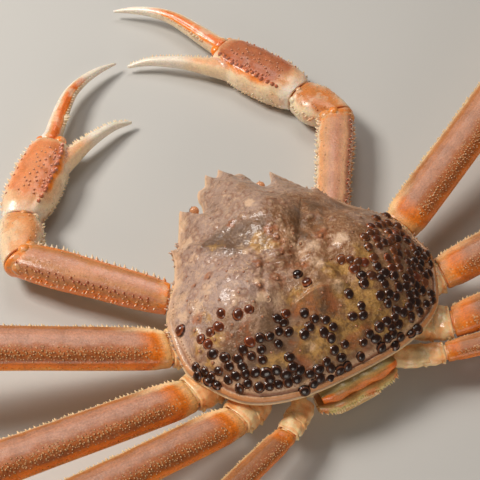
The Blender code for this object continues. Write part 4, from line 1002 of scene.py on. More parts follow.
def leg_material():
    """Walking legs: orange rear edge lightened as a painted glow, rough red-brown band, smooth mauve band,
    pale front margin.
    """
    tints = bpy.context.scene.snow_crab_colours
    cream, orange, rust = tints.cream, tints.leg_orange, tints.leg_rust
    mauve, front = tints.leg_mauve, tints.leg_front

    def colour(weave):
        # The third value of place is how far a leg takes the darker bands, partly painted shade
        along, around, warm = weave.attribute("place")
        wave = weave.noise(150.0, 4.0)
        turn = weave.plus(around, weave.scaled(wave, 0.09, -0.045))
        under = shift(cream, 0.90, 0.08)
        # The light orange of the lower edge is its own orange made lighter as a painted glow of light
        # through the shell on its shaded side
        edge = tone(255, 168, 72)
        bands = weave.ramp(turn, [
            (0.0, shift(orange, 1.4)), (0.15, shift(edge, 1.1)), (0.22, edge),
            (0.27, shift(orange, 1.25)), (0.31, shift(orange, 1.0)), (0.345, shift(rust, 0.95, 0.08)),
            (0.375, shift(rust, 0.85)), (0.43, shift(rust, 1.1)), (0.465, shift(rust, 1.1, -0.05)),
            (0.50, mauve), (0.56, shift(mauve, 1.08)), (0.59, shift(mauve, 0.92)),
            (0.615, shift(front, 0.92)), (0.665, front), (0.695, shift(cream, 0.95)),
            (0.77, shift(cream, 0.9)), (1.0, under)])
        # Browner, darker bands for the legs in shade: partly their own colour, partly painted shade
        brown = weave.ramp(turn, [
            (0.0, shift(orange, 1.1)), (0.15, shift(orange, 1.3)), (0.26, shift(orange, 1.05)),
            (0.33, shift(orange, 0.80)), (0.38, shift(rust, 0.85)), (0.45, shift(rust, 0.80)),
            (0.52, shift(front, 0.74)), (0.62, shift(front, 0.92)), (0.69, shift(cream, 0.70, 0.1)),
            (0.78, shift(cream, 0.80)), (1.0, under)])
        skin = weave.mix(warm, bands, brown)
        bow = weave.maths("POWER", weave.times(weave.minus(turn, 0.44), 4.4), 2.0)
        reach = weave.minus(along, weave.times(bow, 0.045))
        rear_side = weave.times(weave.span(turn, 0.05, 0.10), weave.span(turn, 0.72, 0.66))
        shade = weave.times(weave.span(reach, 0.12, 0.05), weave.band(turn, 0.30, 0.60, 0.04))
        skin = weave.tint(skin, shift(rust, 1.0, 0.1), shade, 0.6)
        bulb = weave.times(weave.span(reach, 0.12, 0.035), rear_side)
        tint = weave.mix(weave.span(reach, 0.045, 0.010), shift(orange, 1.12), tone(240, 180, 112))
        # On the legs in shade the orange near end is darker, partly painted shade
        tint = weave.tint(tint, shift(orange, 0.85), warm, 0.8)
        skin = weave.mix(bulb, skin, tint)
        line = weave.times(weave.band(reach, 0.046, 0.060, 0.008), weave.band(turn, 0.16, 0.56, 0.03))
        skin = weave.tint(skin, shift(orange, 0.62, 0.12), line, 0.5)
        ends = weave.times(weave.span(along, 0.95, 1.0), rear_side)
        skin = weave.mix(ends, skin, shift(orange, 1.1))
        crest = weave.times(weave.span(along, 0.22, 0.06), weave.band(turn, 0.585, 0.82, 0.03))
        crest = weave.times(crest, weave.scaled(warm, -0.75, 0.95))
        skin = weave.mix(crest, skin, shift(cream, 1.08))
        rough_band = weave.band(turn, 0.345, 0.485, 0.025)
        specks = weave.specks(620.0, 0.5, 0.42)
        skin = weave.tint(skin, shift(rust, 0.5, 0.15), specks, weave.times(rough_band, 0.40))
        pale = weave.specks(760.0, 0.45, 0.45)
        skin = weave.tint(skin, shift(cream, 0.68, 0.1), pale, weave.times(rough_band, 0.55))
        skin = weave.mottled(skin, 0.22)
        return weave.spined(skin, shift(rust, 0.75, 0.1), shift(cream, 1.0), shift(cream, 0.58, 0.12))
    return finish_material("leg_chitin", colour, (0.22, 0.44), 900.0, 0.00030, coat=0.30, coat_rough=0.18,
                           flesh=0.12, shine=0.4)


def coxa_material():
    """Leg and arm bases: cream folds with orange blotches, painted shade toward the body and orange painted
    shade in the creases; the third value of growth is orange.
    """
    tints = bpy.context.scene.snow_crab_colours
    cream, orange = tints.cream, tints.leg_orange

    def colour(weave):
        along, around, _ = weave.attribute("place")
        warm = weave.attribute("growth")[2]
        slow, mid = weave.noise(70.0, 4.0), weave.noise(190.0, 4.0)
        skin = weave.mix(weave.span(mid, 0.38, 0.64), shift(cream, 1.06), shift(cream, 0.90, 0.06))
        # Darker toward the body end: painted shade
        skin = weave.tint(skin, shift(cream, 0.62, 0.14), weave.span(along, 0.25, 0.0), 0.4)
        patch = weave.times(weave.span(slow, 0.46, 0.58), weave.band(around, 0.08, 0.66, 0.06))
        skin = weave.tint(skin, shift(orange, 1.35, -0.08), patch, 0.45)
        edge = weave.plus(along, weave.scaled(mid, 0.16, -0.08))
        ring = weave.times(weave.times(warm, 0.6), weave.band(edge, 0.84, 0.94, 0.03))
        skin = weave.mix(ring, skin, shift(orange, 1.2))
        # Orange streaks along the folds: painted shade in the creases
        crease_shade = weave.noise(1.0, 4.0, weave.node("CombineXYZ",
                                                   {0: weave.times(along, 5.0),
                                                    1: weave.times(around, 26.0)}).outputs[0])
        skin = weave.tint(skin, shift(orange, 0.95, 0.0), weave.span(crease_shade, 0.43, 0.32), 0.3)
        skin = weave.mottled(skin, 0.08)
        return weave.spined(skin, shift(orange, 0.95), shift(cream, 1.05), shift(cream, 0.9, 0.1))
    return finish_material("joint_chitin", colour, (0.22, 0.40), 500.0, 0.0003, coat=0.3, flesh=0.25,
                           flesh_scale=0.003, shine=0.4)


def membrane_material():
    """Soft skin between the segments."""
    tints = bpy.context.scene.snow_crab_colours

    def colour(weave):
        patch = weave.span(weave.noise(150.0, 3.0), 0.40, 0.60)
        return weave.tint(shift(tints.cream, 1.02), shift(tints.leg_orange, 1.05), patch, 0.8)
    return finish_material("joint_membrane", colour, (0.3, 0.5), 700.0, 0.00015, coat=0.2, flesh=0.35,
                           flesh_scale=0.002)


def claw_material(side):
    """Claw arms and claws: a reddish patch on the palm, cream margins, a striped moving finger.

    The third value of place is 0 on a palm, 0.5 on an arm's long part, 0.75 on its short one
    and 1 on a moving finger. The third value of growth is the share of the fixed finger.
    """
    tints = bpy.context.scene.snow_crab_colours
    left = side == "left"
    cream = tuple((a * 1.04 + b * 0.86) / 2.0 for a, b in zip(tints.cream, tints.finger))
    # The right palm's salmon is partly painted shade
    salmon = tints.palm_left if left else tints.palm_right
    top = tints.arm_left if left else tints.arm_right
    orange, mauve, white = tints.leg_orange, tints.leg_mauve, tints.finger
    pink = tints.blush
    rim = shift(orange, 1.2) if left else shift(pink, 0.95, 0.05)

    def colour(weave):
        along, around, kind = weave.attribute("place")
        share = weave.attribute("growth")[2]
        wave = weave.noise(110.0, 4.0)
        slow = weave.noise(60.0, 3.0)
        fine = weave.noise(300.0, 4.0)
        turn = weave.plus(around, weave.scaled(wave, 0.10, -0.05))
        reach = weave.plus(along, weave.scaled(wave, 0.20, -0.10))
        under = shift(cream, 0.98, 0.08)
        margin = weave.ramp(turn, [
            (0.0, under), (0.24, shift(cream, 1.08)), (0.33, shift(cream, 1.02, 0.06)),
            (0.54, shift(pink, 0.95)), (0.66, shift(cream, 1.0, 0.08)), (0.80, shift(cream, 1.0, 0.06)),
            (1.0, under)])
        # The light salmon toward the outer side is partly painted highlight
        patch = weave.ramp(turn, [
            (0.28, shift(cream, 1.0, 0.08)), (0.36, shift(salmon, 1.45, -0.10)),
            (0.42, shift(salmon, 1.0)), (0.48, shift(salmon, 1.2, -0.08)),
            (0.54, shift(salmon, 0.95, 0.05)), (0.59, shift(tints.stripe, 0.72)),
            (0.64, shift(orange, 1.3, -0.1))])
        # Lighter salmon mottling, partly painted highlights
        patch = weave.tint(patch, shift(salmon, 1.45, -0.12), weave.span(fine, 0.50, 0.66), 0.35)
        patch = weave.tint(patch, shift(salmon, 0.72, 0.05), weave.span(wave, 0.48, 0.34), 0.45)
        aside = weave.maths("POWER", weave.times(weave.minus(turn, 0.48), 6.2), 2.0)
        near = weave.minus(reach, weave.scaled(aside, 0.14, 0.15))
        far = weave.minus(weave.scaled(aside, -0.10, 0.99), reach)
        inside = weave.times(weave.span(near, -0.05, 0.12), weave.span(far, -0.02, 0.08))
        inside = weave.times(inside, weave.span(aside, 1.45, 0.80))
        palm = weave.mix(inside, margin, patch)
        palm = weave.mix(weave.span(reach, 0.16, 0.02), palm, shift(white, 1.02))
        blush = weave.times(weave.span(slow, 0.46, 0.60), 0.5)
        palm = weave.tint(palm, pink, blush, weave.minus(1.0, inside))
        fixed = weave.ramp(turn, [(0.0, shift(cream, 1.05)), (0.22, shift(cream, 1.08)),
                                  (0.40, shift(cream, 1.06)), (0.54, pink), (0.64, shift(cream, 1.0, 0.1)),
                                  (1.0, shift(cream, 1.0))])
        fixed = weave.mix(weave.span(reach, 0.36, 0.60), fixed, white)
        palm = weave.mix(share, palm, fixed)
        arm = weave.ramp(turn, [
            (0.0, under), (0.16, shift(rim, 1.2)), (0.25, shift(rim, 1.05)),
            (0.32, shift(top, 1.0, 0.08)), (0.385, shift(mauve, 0.80, 0.12)), (0.43, shift(top, 1.0)),
            (0.50, shift(mauve, 1.08, 0.02)), (0.57, top), (0.64, rim), (0.70, shift(cream, 1.0)),
            (0.85, under), (1.0, under)])
        arm = weave.tint(arm, shift(top, 1.3), weave.span(wave, 0.54, 0.66), 0.3)
        ends = weave.maths("MAXIMUM", weave.span(reach, 0.10, 0.02), weave.span(reach, 0.90, 0.98))
        arm = weave.tint(arm, weave.mix(weave.span(fine, 0.45, 0.6), shift(orange, 1.3, -0.1), pink), ends,
                         0.8)
        middle = tone(242, 170, 112) if left else tone(222, 138, 72)
        wrist = weave.ramp(turn, [
            (0.0, shift(cream, 1.0)), (0.20, shift(cream, 1.08)), (0.34, shift(cream, 0.92, 0.06)),
            (0.48, middle), (0.58, shift(middle, 0.8, 0.10)), (0.68, shift(cream, 1.0, 0.05)),
            (1.0, shift(cream, 1.0))])
        wrist = weave.tint(wrist, shift(cream, 1.02), weave.span(wave, 0.48, 0.62), 0.45)
        wrist = weave.tint(wrist, shift(orange, 0.95), weave.span(slow, 0.50, 0.62), 0.3 if left else 0.6)
        moving = weave.ramp(turn, [
            (0.0, shift(cream, 0.98, 0.04)), (0.24, shift(cream, 1.08)), (0.42, shift(white, 0.98)),
            (0.47, pink), (0.52, shift(tints.stripe, 1.25, -0.1)), (0.59, tints.stripe),
            (0.64, shift(orange, 1.25)), (0.70, shift(cream, 1.0, 0.06)), (1.0, shift(cream, 0.98))])
        moving = weave.tint(moving, shift(cream, 1.05), weave.span(wave, 0.50, 0.66), 0.5)
        moving = weave.mix(weave.span(reach, 0.54, 0.76), moving, white)
        skin = weave.mix(weave.span(kind, 0.2, 0.3), palm, arm)
        skin = weave.mix(weave.span(kind, 0.6, 0.65), skin, wrist)
        skin = weave.mix(weave.span(kind, 0.8, 0.9), skin, moving)
        rough = weave.times(weave.maths("GREATER_THAN", kind, 0.3), weave.maths("LESS_THAN", kind, 0.6))
        motes = weave.specks(560.0, 0.35, 0.38)
        skin = weave.tint(skin, shift(tints.leg_rust, 0.8), motes, weave.times(rough, 0.25))
        skin = weave.mottled(skin, 0.14)
        return weave.spined(skin, tints.knob, shift(cream, 1.08), shift(tints.knob, 2.4, -0.1))
    return finish_material("claw_chitin_" + side, colour, (0.20, 0.40), 700.0, 0.00032, coat=0.35,
                           coat_rough=0.15, flesh=0.25, flesh_scale=0.003, shine=0.45)


def shell_material():
    """The shell: mauve-brown with ochre and rusty stains, dark hollows partly in painted shade, pale spots
    partly painted glints, and a pale rim.
    """
    tints = bpy.context.scene.snow_crab_colours

    def colour(weave):
        share, ochre, rust = weave.attribute("place")
        rear = weave.attribute("growth")[2]
        names = ("pale", "shade", "crown")
        pale, shade, crown = (weave.node("Attribute", attribute_name=name).outputs["Fac"] for name in names)
        broad = weave.noise(55.0, 5.0, rough=0.62)
        fine = weave.noise(230.0, 6.0, rough=0.68)
        tiny = weave.noise(950.0, 4.0, rough=0.62)
        across, forth, _ = weave.node("SeparateXYZ", {0: weave.place()}).outputs
        drift = weave.scaled(broad, 0.08, -0.04)
        # Greyish pink on the left, paler in part as painted sheen; warm brown in the middle and on the right
        skin = weave.mix(weave.span(weave.plus(across, drift), -0.034, 0.0), tints.shell_cool, tints.shell)
        skin = weave.mix(weave.span(weave.plus(forth, drift), 0.014, 0.040), skin, tints.shell_front)
        tan = weave.times(weave.span(weave.plus(forth, drift), -0.008, -0.030), 0.6)
        skin = weave.mix(tan, skin, tone(168, 124, 82))
        skin = weave.tint(skin, shift(tints.shell, 0.78, 0.06), weave.span(broad, 0.44, 0.34), 0.6)
        skin = weave.tint(skin, shift(tints.shell_cool, 1.10), weave.span(broad, 0.56, 0.66), 0.35)
        skin = weave.tint(skin, shift(tints.shell_pale, 0.85), weave.span(fine, 0.52, 0.66), 0.45)
        skin = weave.tint(skin, shift(tints.shell_dark, 1.0, 0.12), weave.span(fine, 0.47, 0.34), 0.62)
        vein = weave.maths("ABSOLUTE", weave.minus(weave.noise(170.0, 4.0, rough=0.6), 0.5))
        skin = weave.tint(skin, shift(tints.shell_pale, 0.88, 0.06), weave.span(vein, 0.030, 0.0), 0.42)
        wobble = weave.scaled(fine, 1.6, -0.8)

        # Soft-edged mask of spots: ochre and rust stains, and dark and pale spots that are partly painted
        # shade and glints
        def stain(mask, strength):
            edge = weave.plus(mask, weave.times(wobble, weave.span(mask, 0.02, 0.3)))
            return weave.times(weave.span(edge, 0.14, 0.62), strength)
        # Dark brown over the dark spots: partly the shell's own colour, partly painted shade
        hollow = weave.mix(weave.span(fine, 0.40, 0.62), shift(tints.shell_dark, 0.9),
                           shift(tints.shell_dark, 1.3, -0.05))
        skin = weave.mix(stain(shade, 0.85), skin, hollow)
        yellow = weave.mix(weave.span(fine, 0.38, 0.58), shift(tints.shell_ochre, 0.45, 0.10),
                           shift(tints.shell_ochre, 1.2))
        skin = weave.mix(stain(ochre, 0.95), skin, yellow)
        red = weave.mix(weave.span(fine, 0.4, 0.6), shift(tints.shell_rust, 0.75),
                        shift(tints.shell_rust, 1.5))
        skin = weave.mix(stain(rust, 0.8), skin, red)
        # Pale spots: partly real flecks, partly painted glints and highlights
        skin = weave.mix(stain(pale, 0.75), skin, shift(tints.shell_pale, 0.98))
        foot = weave.times(weave.band(crown, 0.10, 0.42, 0.08), 0.35)
        skin = weave.mix(foot, skin, shift(tints.shell_rust, 0.95))
        skin = weave.tint(skin, shift(tints.shell_pale, 0.85, 0.08), weave.span(crown, 0.50, 0.95), 0.32)
        skin = weave.tint(skin, shift(tints.shell_dark, 0.9), weave.span(tiny, 0.58, 0.70), 0.45)
        skin = weave.tint(skin, shift(tints.shell_pale, 0.9), weave.span(tiny, 0.41, 0.31), 0.25)
        edge = weave.plus(share, weave.scaled(fine, 0.03, -0.015))
        front = weave.minus(1.0, rear)
        border = weave.times(weave.span(edge, 0.925, 0.955), weave.scaled(rear, 0.35, 0.30))
        skin = weave.mix(border, skin, shift(tints.shell_pale, 1.0, 0.03))
        skin = weave.tint(skin, shift(tints.shell_pale, 1.08, 0.04), weave.span(edge, 0.972, 0.998),
                          weave.times(front, 0.7))
        groove = weave.times(weave.band(edge, 0.960, 0.976, 0.006), rear)
        skin = weave.tint(skin, shift(tints.shell_rust, 0.95, 0.05), groove, 0.85)
        ridge = weave.times(weave.band(edge, 0.984, 1.11, 0.006), rear)
        skin = weave.tint(skin, tone(216, 144, 84), ridge, 0.9)
        line = weave.times(weave.band(share, 1.12, 1.36, 0.03), rear)
        skin = weave.mix(line, skin, shift(tints.shell_rust, 0.55))
        skin = weave.mix(weave.span(share, 1.38, 1.44), skin, shift(tints.cream, 0.98))
        return weave.spined(skin, shift(tints.shell_rust, 0.9), shift(tints.shell_pale, 1.02),
                            shift(tints.shell_rust, 1.9))
    return finish_material("shell_chitin", colour, (0.28, 0.48), 700.0, 0.00090, coat=0.26, coat_rough=0.08,
                           flesh=0.04, flesh_scale=0.001, shine=0.6)


def egg_material():
    """Horny egg cases, nearly black, brown or red, with a lighter ring on the slope between rim and top that
    is partly painted reflection and glow.
    """
    tints = bpy.context.scene.snow_crab_colours

    def colour(weave):
        _, brown, warm = weave.attribute("place")
        height = weave.attribute("growth")[0]
        ring = weave.mix(warm, weave.mix(brown, tints.egg, tints.egg_brown), tints.egg_warm)
        level = weave.plus(height, weave.scaled(weave.noise(420.0, 3.0), 0.24, -0.12))
        low = (0.15, 0.12, 0.11)
        high = weave.mix(weave.maths("MAXIMUM", brown, warm), (0.15, 0.13, 0.13), (0.36, 0.32, 0.32))
        # Darker at the rim and top, lighter between: partly the horn's own brown, partly a painted ring of
        # reflection and glow through the horn
        depth = weave.mix(weave.span(level, 0.10, 0.34), low, (1.0, 1.0, 1.0))
        depth = weave.mix(weave.span(level, 0.46, 0.74), depth, high)
        skin = weave.mix(1.0, ring, depth, "MULTIPLY")
        return weave.mottled(skin, 0.25)
    return finish_material("egg_case_horn", colour, (0.16, 0.30), 500.0, 0.00014, coat=0.35,
                           coat_rough=0.05)


def belly_material():
    """Underside: cream plates, a little pinker in the folds."""
    tints = bpy.context.scene.snow_crab_colours

    def colour(weave):
        _, fold, orange = weave.attribute("place")
        tinge = weave.noise(45.0, 4.0)
        skin = weave.mix(weave.span(tinge, 0.42, 0.62), shift(tints.cream, 0.98),
                         shift(tints.cream, 0.80, 0.06))
        skin = weave.tint(skin, shift(tints.leg_rust, 0.9), fold, 0.7)
        return weave.mix(orange, skin, shift(tints.leg_orange, 1.05))
    return finish_material("belly_chitin", colour, (0.28, 0.46), 420.0, 0.00025, coat=0.2, flesh=0.2,
                           flesh_scale=0.002)


def band_material():
    """Abdomen behind the shell: an orange plate over a yellow-green one with a cream fringe.

    The third value of place is 0 on the upper plate and 1 on the lower one.
    """
    tints = bpy.context.scene.snow_crab_colours

    def colour(weave):
        along, around, lower = weave.attribute("place")
        tint = weave.noise(130.0, 4.0)
        wave = weave.plus(around, weave.scaled(tint, 0.10, -0.05))
        upper = weave.ramp(wave, [
            (0.0, tone(170, 96, 46)), (0.14, tone(190, 104, 48)), (0.20, tone(222, 122, 50)),
            (0.32, tone(230, 134, 60)), (0.38, tone(196, 140, 78)), (0.46, tone(156, 134, 82)),
            (0.6, tone(190, 156, 108)), (1.0, tone(180, 150, 104))])
        ends = weave.maths("MAXIMUM", weave.span(along, 0.18, 0.08), weave.span(along, 0.80, 0.90))
        upper = weave.tint(upper, tone(250, 128, 40), ends, weave.band(wave, 0.14, 0.42, 0.02))
        under = weave.ramp(wave, [
            (0.0, shift(tints.cream, 0.9)), (0.14, tone(244, 224, 160)), (0.24, tone(232, 206, 136)),
            (0.33, tone(214, 168, 96)), (0.38, tone(190, 146, 84)), (0.44, tone(160, 110, 58)),
            (0.6, tone(140, 92, 50)), (1.0, shift(tints.cream, 0.85))])
        under = weave.tint(under, tone(230, 146, 84), weave.span(tint, 0.50, 0.62),
                           weave.band(wave, 0.22, 0.36, 0.03))
        skin = weave.mix(lower, upper, under)
        skin = weave.mottled(skin, 0.22)
        return weave.spined(skin, tone(226, 206, 140), shift(tints.cream, 1.05), tints.cream)
    return finish_material("abdomen_chitin", colour, (0.24, 0.42), 500.0, 0.0002, coat=0.3, flesh=0.12,
                           flesh_scale=0.002)


def eye_material():
    """Eye on an orange-cream stalk, its glossy dark cornea on the front."""
    tints = bpy.context.scene.snow_crab_colours

    def colour(weave):
        along, around, _ = weave.attribute("place")
        stalk = weave.ramp(along, [(0.0, tints.cream), (0.35, shift(tints.leg_orange, 1.05)),
                                   (0.6, tone(232, 172, 126)), (1.0, tone(220, 154, 108))])
        front = weave.minus(1.0, weave.band(around, 0.24, 0.76, 0.03))
        front = weave.times(front, weave.span(along, 0.55, 0.62))
        return weave.mix(front, stalk, tone(30, 13, 9))
    return finish_material("eye_cornea", colour, (0.08, 0.16), 1500.0, 0.00003, coat=0.9, coat_rough=0.04)


# Carapace


def curve_through(points, loose, steps):
    """Smooth closed curve through points, sharp where a point isn't loose."""
    points = np.asarray(points, float)
    loose = np.asarray(loose, float)[:, None]
    tangents = (np.roll(points, -1, 0) - np.roll(points, 1, 0)) * 0.5 * (0.12 + 0.88 * loose)
    t = np.linspace(0.0, 1.0, steps, endpoint=False)[None, :, None]
    start, end = points[:, None], np.roll(points, -1, 0)[:, None]
    leave, arrive = tangents[:, None], np.roll(tangents, -1, 0)[:, None]
    curve = ((2 * t ** 3 - 3 * t ** 2 + 1) * start + (t ** 3 - 2 * t ** 2 + t) * leave
             + (3 * t ** 2 - 2 * t ** 3) * end + (t ** 3 - t ** 2) * arrive)
    return curve.reshape(-1, 2)


def shell_outlines(steps):
    """The shell's toothed outline and the same with its teeth smoothed away, in metres."""
    right = [(x, y, 1) for x, y in SIDE_OUTLINE] + FRONT_OUTLINE
    whole = np.array(right + [NOTCH] + [(-x, y, sharp) for x, y, sharp in reversed(right[1:])], float)
    coarse = whole[:, :2] * CARAPACE_WIDTH
    smooth = coarse.copy()
    for _ in range(9):
        smooth = (np.roll(smooth, 1, 0) + smooth * 2.0 + np.roll(smooth, -1, 0)) * 0.25
    side_count = len(SIDE_OUTLINE)
    near_side = np.minimum(np.arange(len(whole)), len(whole) - np.arange(len(whole))) < side_count - 2
    smooth = np.where(near_side[:, None], coarse * 0.995, smooth)
    return curve_through(coarse, whole[:, 2], steps), curve_through(smooth, np.ones(len(whole)), steps)


def rim_heights(y):
    """Height of the shell's edge, which rises toward the snout."""
    return RIM_HEIGHT + SNOUT_RISE * smooth_step(0.28, 0.56, y / CARAPACE_WIDTH)


def shell_relief(x, y):
    """Height that the swellings add to the shell."""
    u, v = np.abs(x) / CARAPACE_WIDTH, y / CARAPACE_WIDTH
    return sum(height * np.exp(-((u - at) / wide) ** 2 - ((v - along) / long) ** 2)
               for at, along, wide, long, height in MIDDLE_RELIEF + PAIRED_RELIEF)


def shell_heights(flat, edge, share):
    """Height of the smooth shell at places on its plan."""
    rim = rim_heights(edge[..., 1] * share)
    return (rim + (SHELL_TOP - rim) * (1.0 - share ** 2.5)
            + shell_relief(flat[..., 0], flat[..., 1]) * (1.0 - share ** 6))


def camera_axes():
    """Place of the camera and its forward, right and up directions."""
    place, target = Vector(CAMERA_PLACE), Vector(CAMERA_TARGET)
    forward = (target - place).normalized()
    right = forward.cross(Vector((0.0, 0.0, 1.0))).normalized()
    return place, forward, right, right.cross(forward)


def pixel_ray(column, row):
    """Direction from the camera through a pixel of the photograph."""
    _, forward, right, up = camera_axes()
    focal = CAMERA_LENS / SENSOR_WIDTH * IMAGE_SIZE
    middle = IMAGE_SIZE / 2.0
    return (forward + right * ((column - middle) / focal) - up * ((row - middle) / focal)).normalized()


def on_shell(tree, column, row):
    """Point and outward direction where a pixel's ray meets the shell."""
    return tree.ray_cast(Vector(CAMERA_PLACE), pixel_ray(column, row))[:2]


def tree_of(points, faces):
    """Search tree of a surface."""
    return BVHTree.FromPolygons([tuple(point) for point in points], [tuple(face) for face in faces])


def stain_mask(points, tree, stains):
    """Sum of the round spots that are placed by pixel, over points of the shell."""
    mask = np.zeros(len(points))
    for column, row, radius, strength in stains:
        spot, _ = on_shell(tree, column, row)
        if spot is not None:
            distance = np.linalg.norm(points - np.array(spot), axis=1) / (radius * 0.001)
            mask = np.maximum(mask, strength * np.exp(-0.7 * distance ** 2))
    return mask


def line_distance(points, line):
    """Distance from points to a line of points, in plan."""
    best = np.full(len(points), 1.0)
    side = np.zeros(len(points))
    for start, end in zip(line, line[1:]):
        run = end - start
        share = np.clip(((points - start) @ run) / (run @ run), 0.0, 1.0)
        gap = points - (start + share[:, None] * run)
        distance = np.linalg.norm(gap, axis=1)
        nearer = distance < best
        side = np.where(nearer, np.sign(run[0] * gap[:, 1] - run[1] * gap[:, 0]), side)
        best = np.minimum(best, distance)
    return best, side


def shell_surface():
    """The shell's two outlines, the share of the way to the edge of each of its rings, and their points."""
    edge, smooth = shell_outlines(11)
    shares = np.concatenate([np.linspace(0.012, 0.90, 116), np.linspace(0.904, 1.0, 36)])
    mix = (shares ** 6)[:, None, None]
    flat = (smooth[None] * (1.0 - mix) + edge[None] * mix) * shares[:, None, None]
    heights = shell_heights(flat, edge[None], shares[:, None])
    return edge, smooth, shares, np.concatenate([flat, heights[..., None]], axis=-1)


def lumps(points, scale, depth):
    """Layered noise at points."""
    return np.array([noise.fractal(Vector(point) * scale, 0.9, 2.0, depth) for point in points])


def warts(points, rough, draw, count):
    """Height and crown of round warts strewn over points, denser where the shell is rough."""
    rise, crown = np.zeros(len(points)), np.zeros(len(points))
    for pick in draw.integers(0, len(points), count):
        if draw.uniform() > rough[pick]:
            continue
        size = draw.uniform(0.0008, 0.0019)
        near = np.nonzero(np.abs(points - points[pick]).max(axis=1) < size * 2.2)[0]
        fall = np.exp(-(np.linalg.norm(points[near] - points[pick], axis=1) / size) ** 2)
        rise[near] = np.maximum(rise[near], fall * size * draw.uniform(0.30, 0.55))
        crown[near] = np.maximum(crown[near], fall)
    return rise, crown


def build_carapace():
    """The shell with its relief, tubercles, spines and stains."""
    sizes = bpy.context.scene.snow_crab_sizes
    edge, smooth, shares, grid = shell_surface()
    rings, columns = grid.shape[:2]
    flat_points = grid.reshape(-1, 3)
    tree = tree_of(flat_points, grid_faces(rings, columns))
    share = np.repeat(shares, columns)
    rear = smooth_step(0.10, -0.22, flat_points[:, 1] / CARAPACE_WIDTH)
    inner = 1.0 - rear * smooth_step(0.93, 0.97, share) - (1.0 - rear) * smooth_step(0.965, 0.998, share)
    dark, ochre, rust, pale, rough = (stain_mask(flat_points, tree, stains) for stains in
                                      (DARK_SPOTS_AND_SHADE, OCHRE_STAINS, RUST_STAINS, PALE_SPOTS_AND_GLINTS, ROUGH_ZONES))
    broad, fine = lumps(flat_points, 95.0, 4), lumps(flat_points, 330.0, 4)
    rough = np.clip(0.06 + rough * 0.55 - dark * 0.4, 0.02, 1.0)
    rise = broad * 0.0007 + fine * sizes.shell_lumps * (0.35 + 1.5 * rough) + ochre * 0.0003 - rust * 0.0002
    wart, crown = warts(flat_points, rough * inner, np.random.default_rng(12), 2600)
    rise = rise + wart
    for column, row, radius, height in BROAD_RELIEF:
        spot, _ = on_shell(tree, column, row)
        distance = np.linalg.norm(flat_points - np.array(spot), axis=1)
        rise = rise + height * 0.001 * np.exp(-(distance / (radius * 0.001)) ** 2)
    for line, height, width in SHELL_FOLDS:
        spots = [on_shell(tree, *pixel)[0] for pixel in line]
        plan = np.array([[spot.x, spot.y] for spot in spots if spot])
        distance, side = line_distance(flat_points[:, :2], plan)
        fall = np.exp(-(distance / (width * 0.001)) ** 2)
        lean = side * distance / (distance + width * 0.0004)
        rise = rise + height * 0.001 * fall * (1.0 + 0.6 * lean)
    for column, row, height in TUBERCLES:
        spot, _ = on_shell(tree, column, row)
        if spot is not None:
            distance = np.linalg.norm(flat_points - np.array(spot), axis=1)
            rise = rise + height * 0.00045 * np.exp(-(distance / (0.0010 + 0.0005 * height)) ** 2)
    groove = -0.0010 * bump_at(share, 0.968, 0.009) + 0.0004 * bump_at(share, 0.990, 0.008)
    flat_points = flat_points.copy()
    flat_points[:, 2] += rise * inner + groove * rear
    under = [(1.002, 1.0, 0.0004), (1.000, 1.0, 0.0008), (0.984, 1.0, 0.0010), (0.981, 1.0, 0.0014),
             (1.008, 1.0, 0.0020), (1.006, 1.0, 0.0027), (0.955, 0.8, 0.0032), (0.86, 0.4, 0.0032),
             (0.55, 0.1, 0.0032)]
    below = []
    for scale, keep, drop in under:
        ring = (smooth * (1.0 - keep) + edge * keep) * scale
        level = np.maximum(rim_heights(edge[:, 1]) - drop, SHELL_UNDERSIDE)
        below.append(np.concatenate([ring, level[:, None]], axis=1))
    below = np.concatenate(below)
    top = np.array([[0.0, 0.0, flat_points[:columns, 2].mean()]])
    bottom = np.array([[0.0, 0.0, SHELL_UNDERSIDE]])
    points = np.concatenate([flat_points, below, top, bottom])
    total = rings + len(under)
    faces = [grid_faces(total, columns, flip=True), fan_faces(range(columns), total * columns),
             fan_faces(range((total - 1) * columns, total * columns), total * columns + 1, flip=True)]
    lip = np.repeat([1.05, 1.10, 1.20, 1.30, 1.44, 1.6, 1.7, 1.8, 1.9], columns)
    extra = len(below) + 2

    def padded(values, tail=0.0):
        return np.concatenate([values, np.full(extra, tail)])
    place = np.stack([np.concatenate([share, lip, [0.0, 2.0]]), padded(ochre), padded(rust)], axis=-1)
    growth = np.stack([padded(share * 0.0), padded(share * 0.0),
                       np.concatenate([rear, np.tile(rear[-columns:], len(under)), [0.0, 0.0]])], axis=-1)
    skin = Skin()
    skin.add(points, faces, place, growth)
    upper = tree_of(points, grid_faces(rings, columns))
    add_tubercles(skin, upper)
    add_edge_spines(skin, edge)
    piece = skin.piece("shell", shell_material(), "shell", "carapace")
    for label, part in (("pale", pale), ("shade", dark), ("crown", crown * inner)):
        values = np.zeros(skin.count, np.float32)
        values[:len(part)] = part
        piece.data.attributes.new(label, "FLOAT", "POINT").data.foreach_set("value", values)
    return upper


def add_tubercles(skin, tree):
    """The tubercles by pixel, on their raised feet."""
    found = [(on_shell(tree, column, row), height) for column, row, height in TUBERCLES]
    found = [(spot, normal, height) for (spot, normal), height in found if spot is not None]
    outs = unit(np.array([tuple(normal) for _, normal, _ in found]))
    outs = np.where(outs[:, 2:] < 0.0, -outs, outs)
    heights = np.array([height for _, _, height in found]) * 0.00055
    thorns(skin, np.array([tuple(spot) for spot, _, _ in found]), outs, heights, heights * 0.95 + 0.00016,
           (0.5, 0.0, 0.0), 0.6, profile=KNOB, sides=8, stain=0.75)


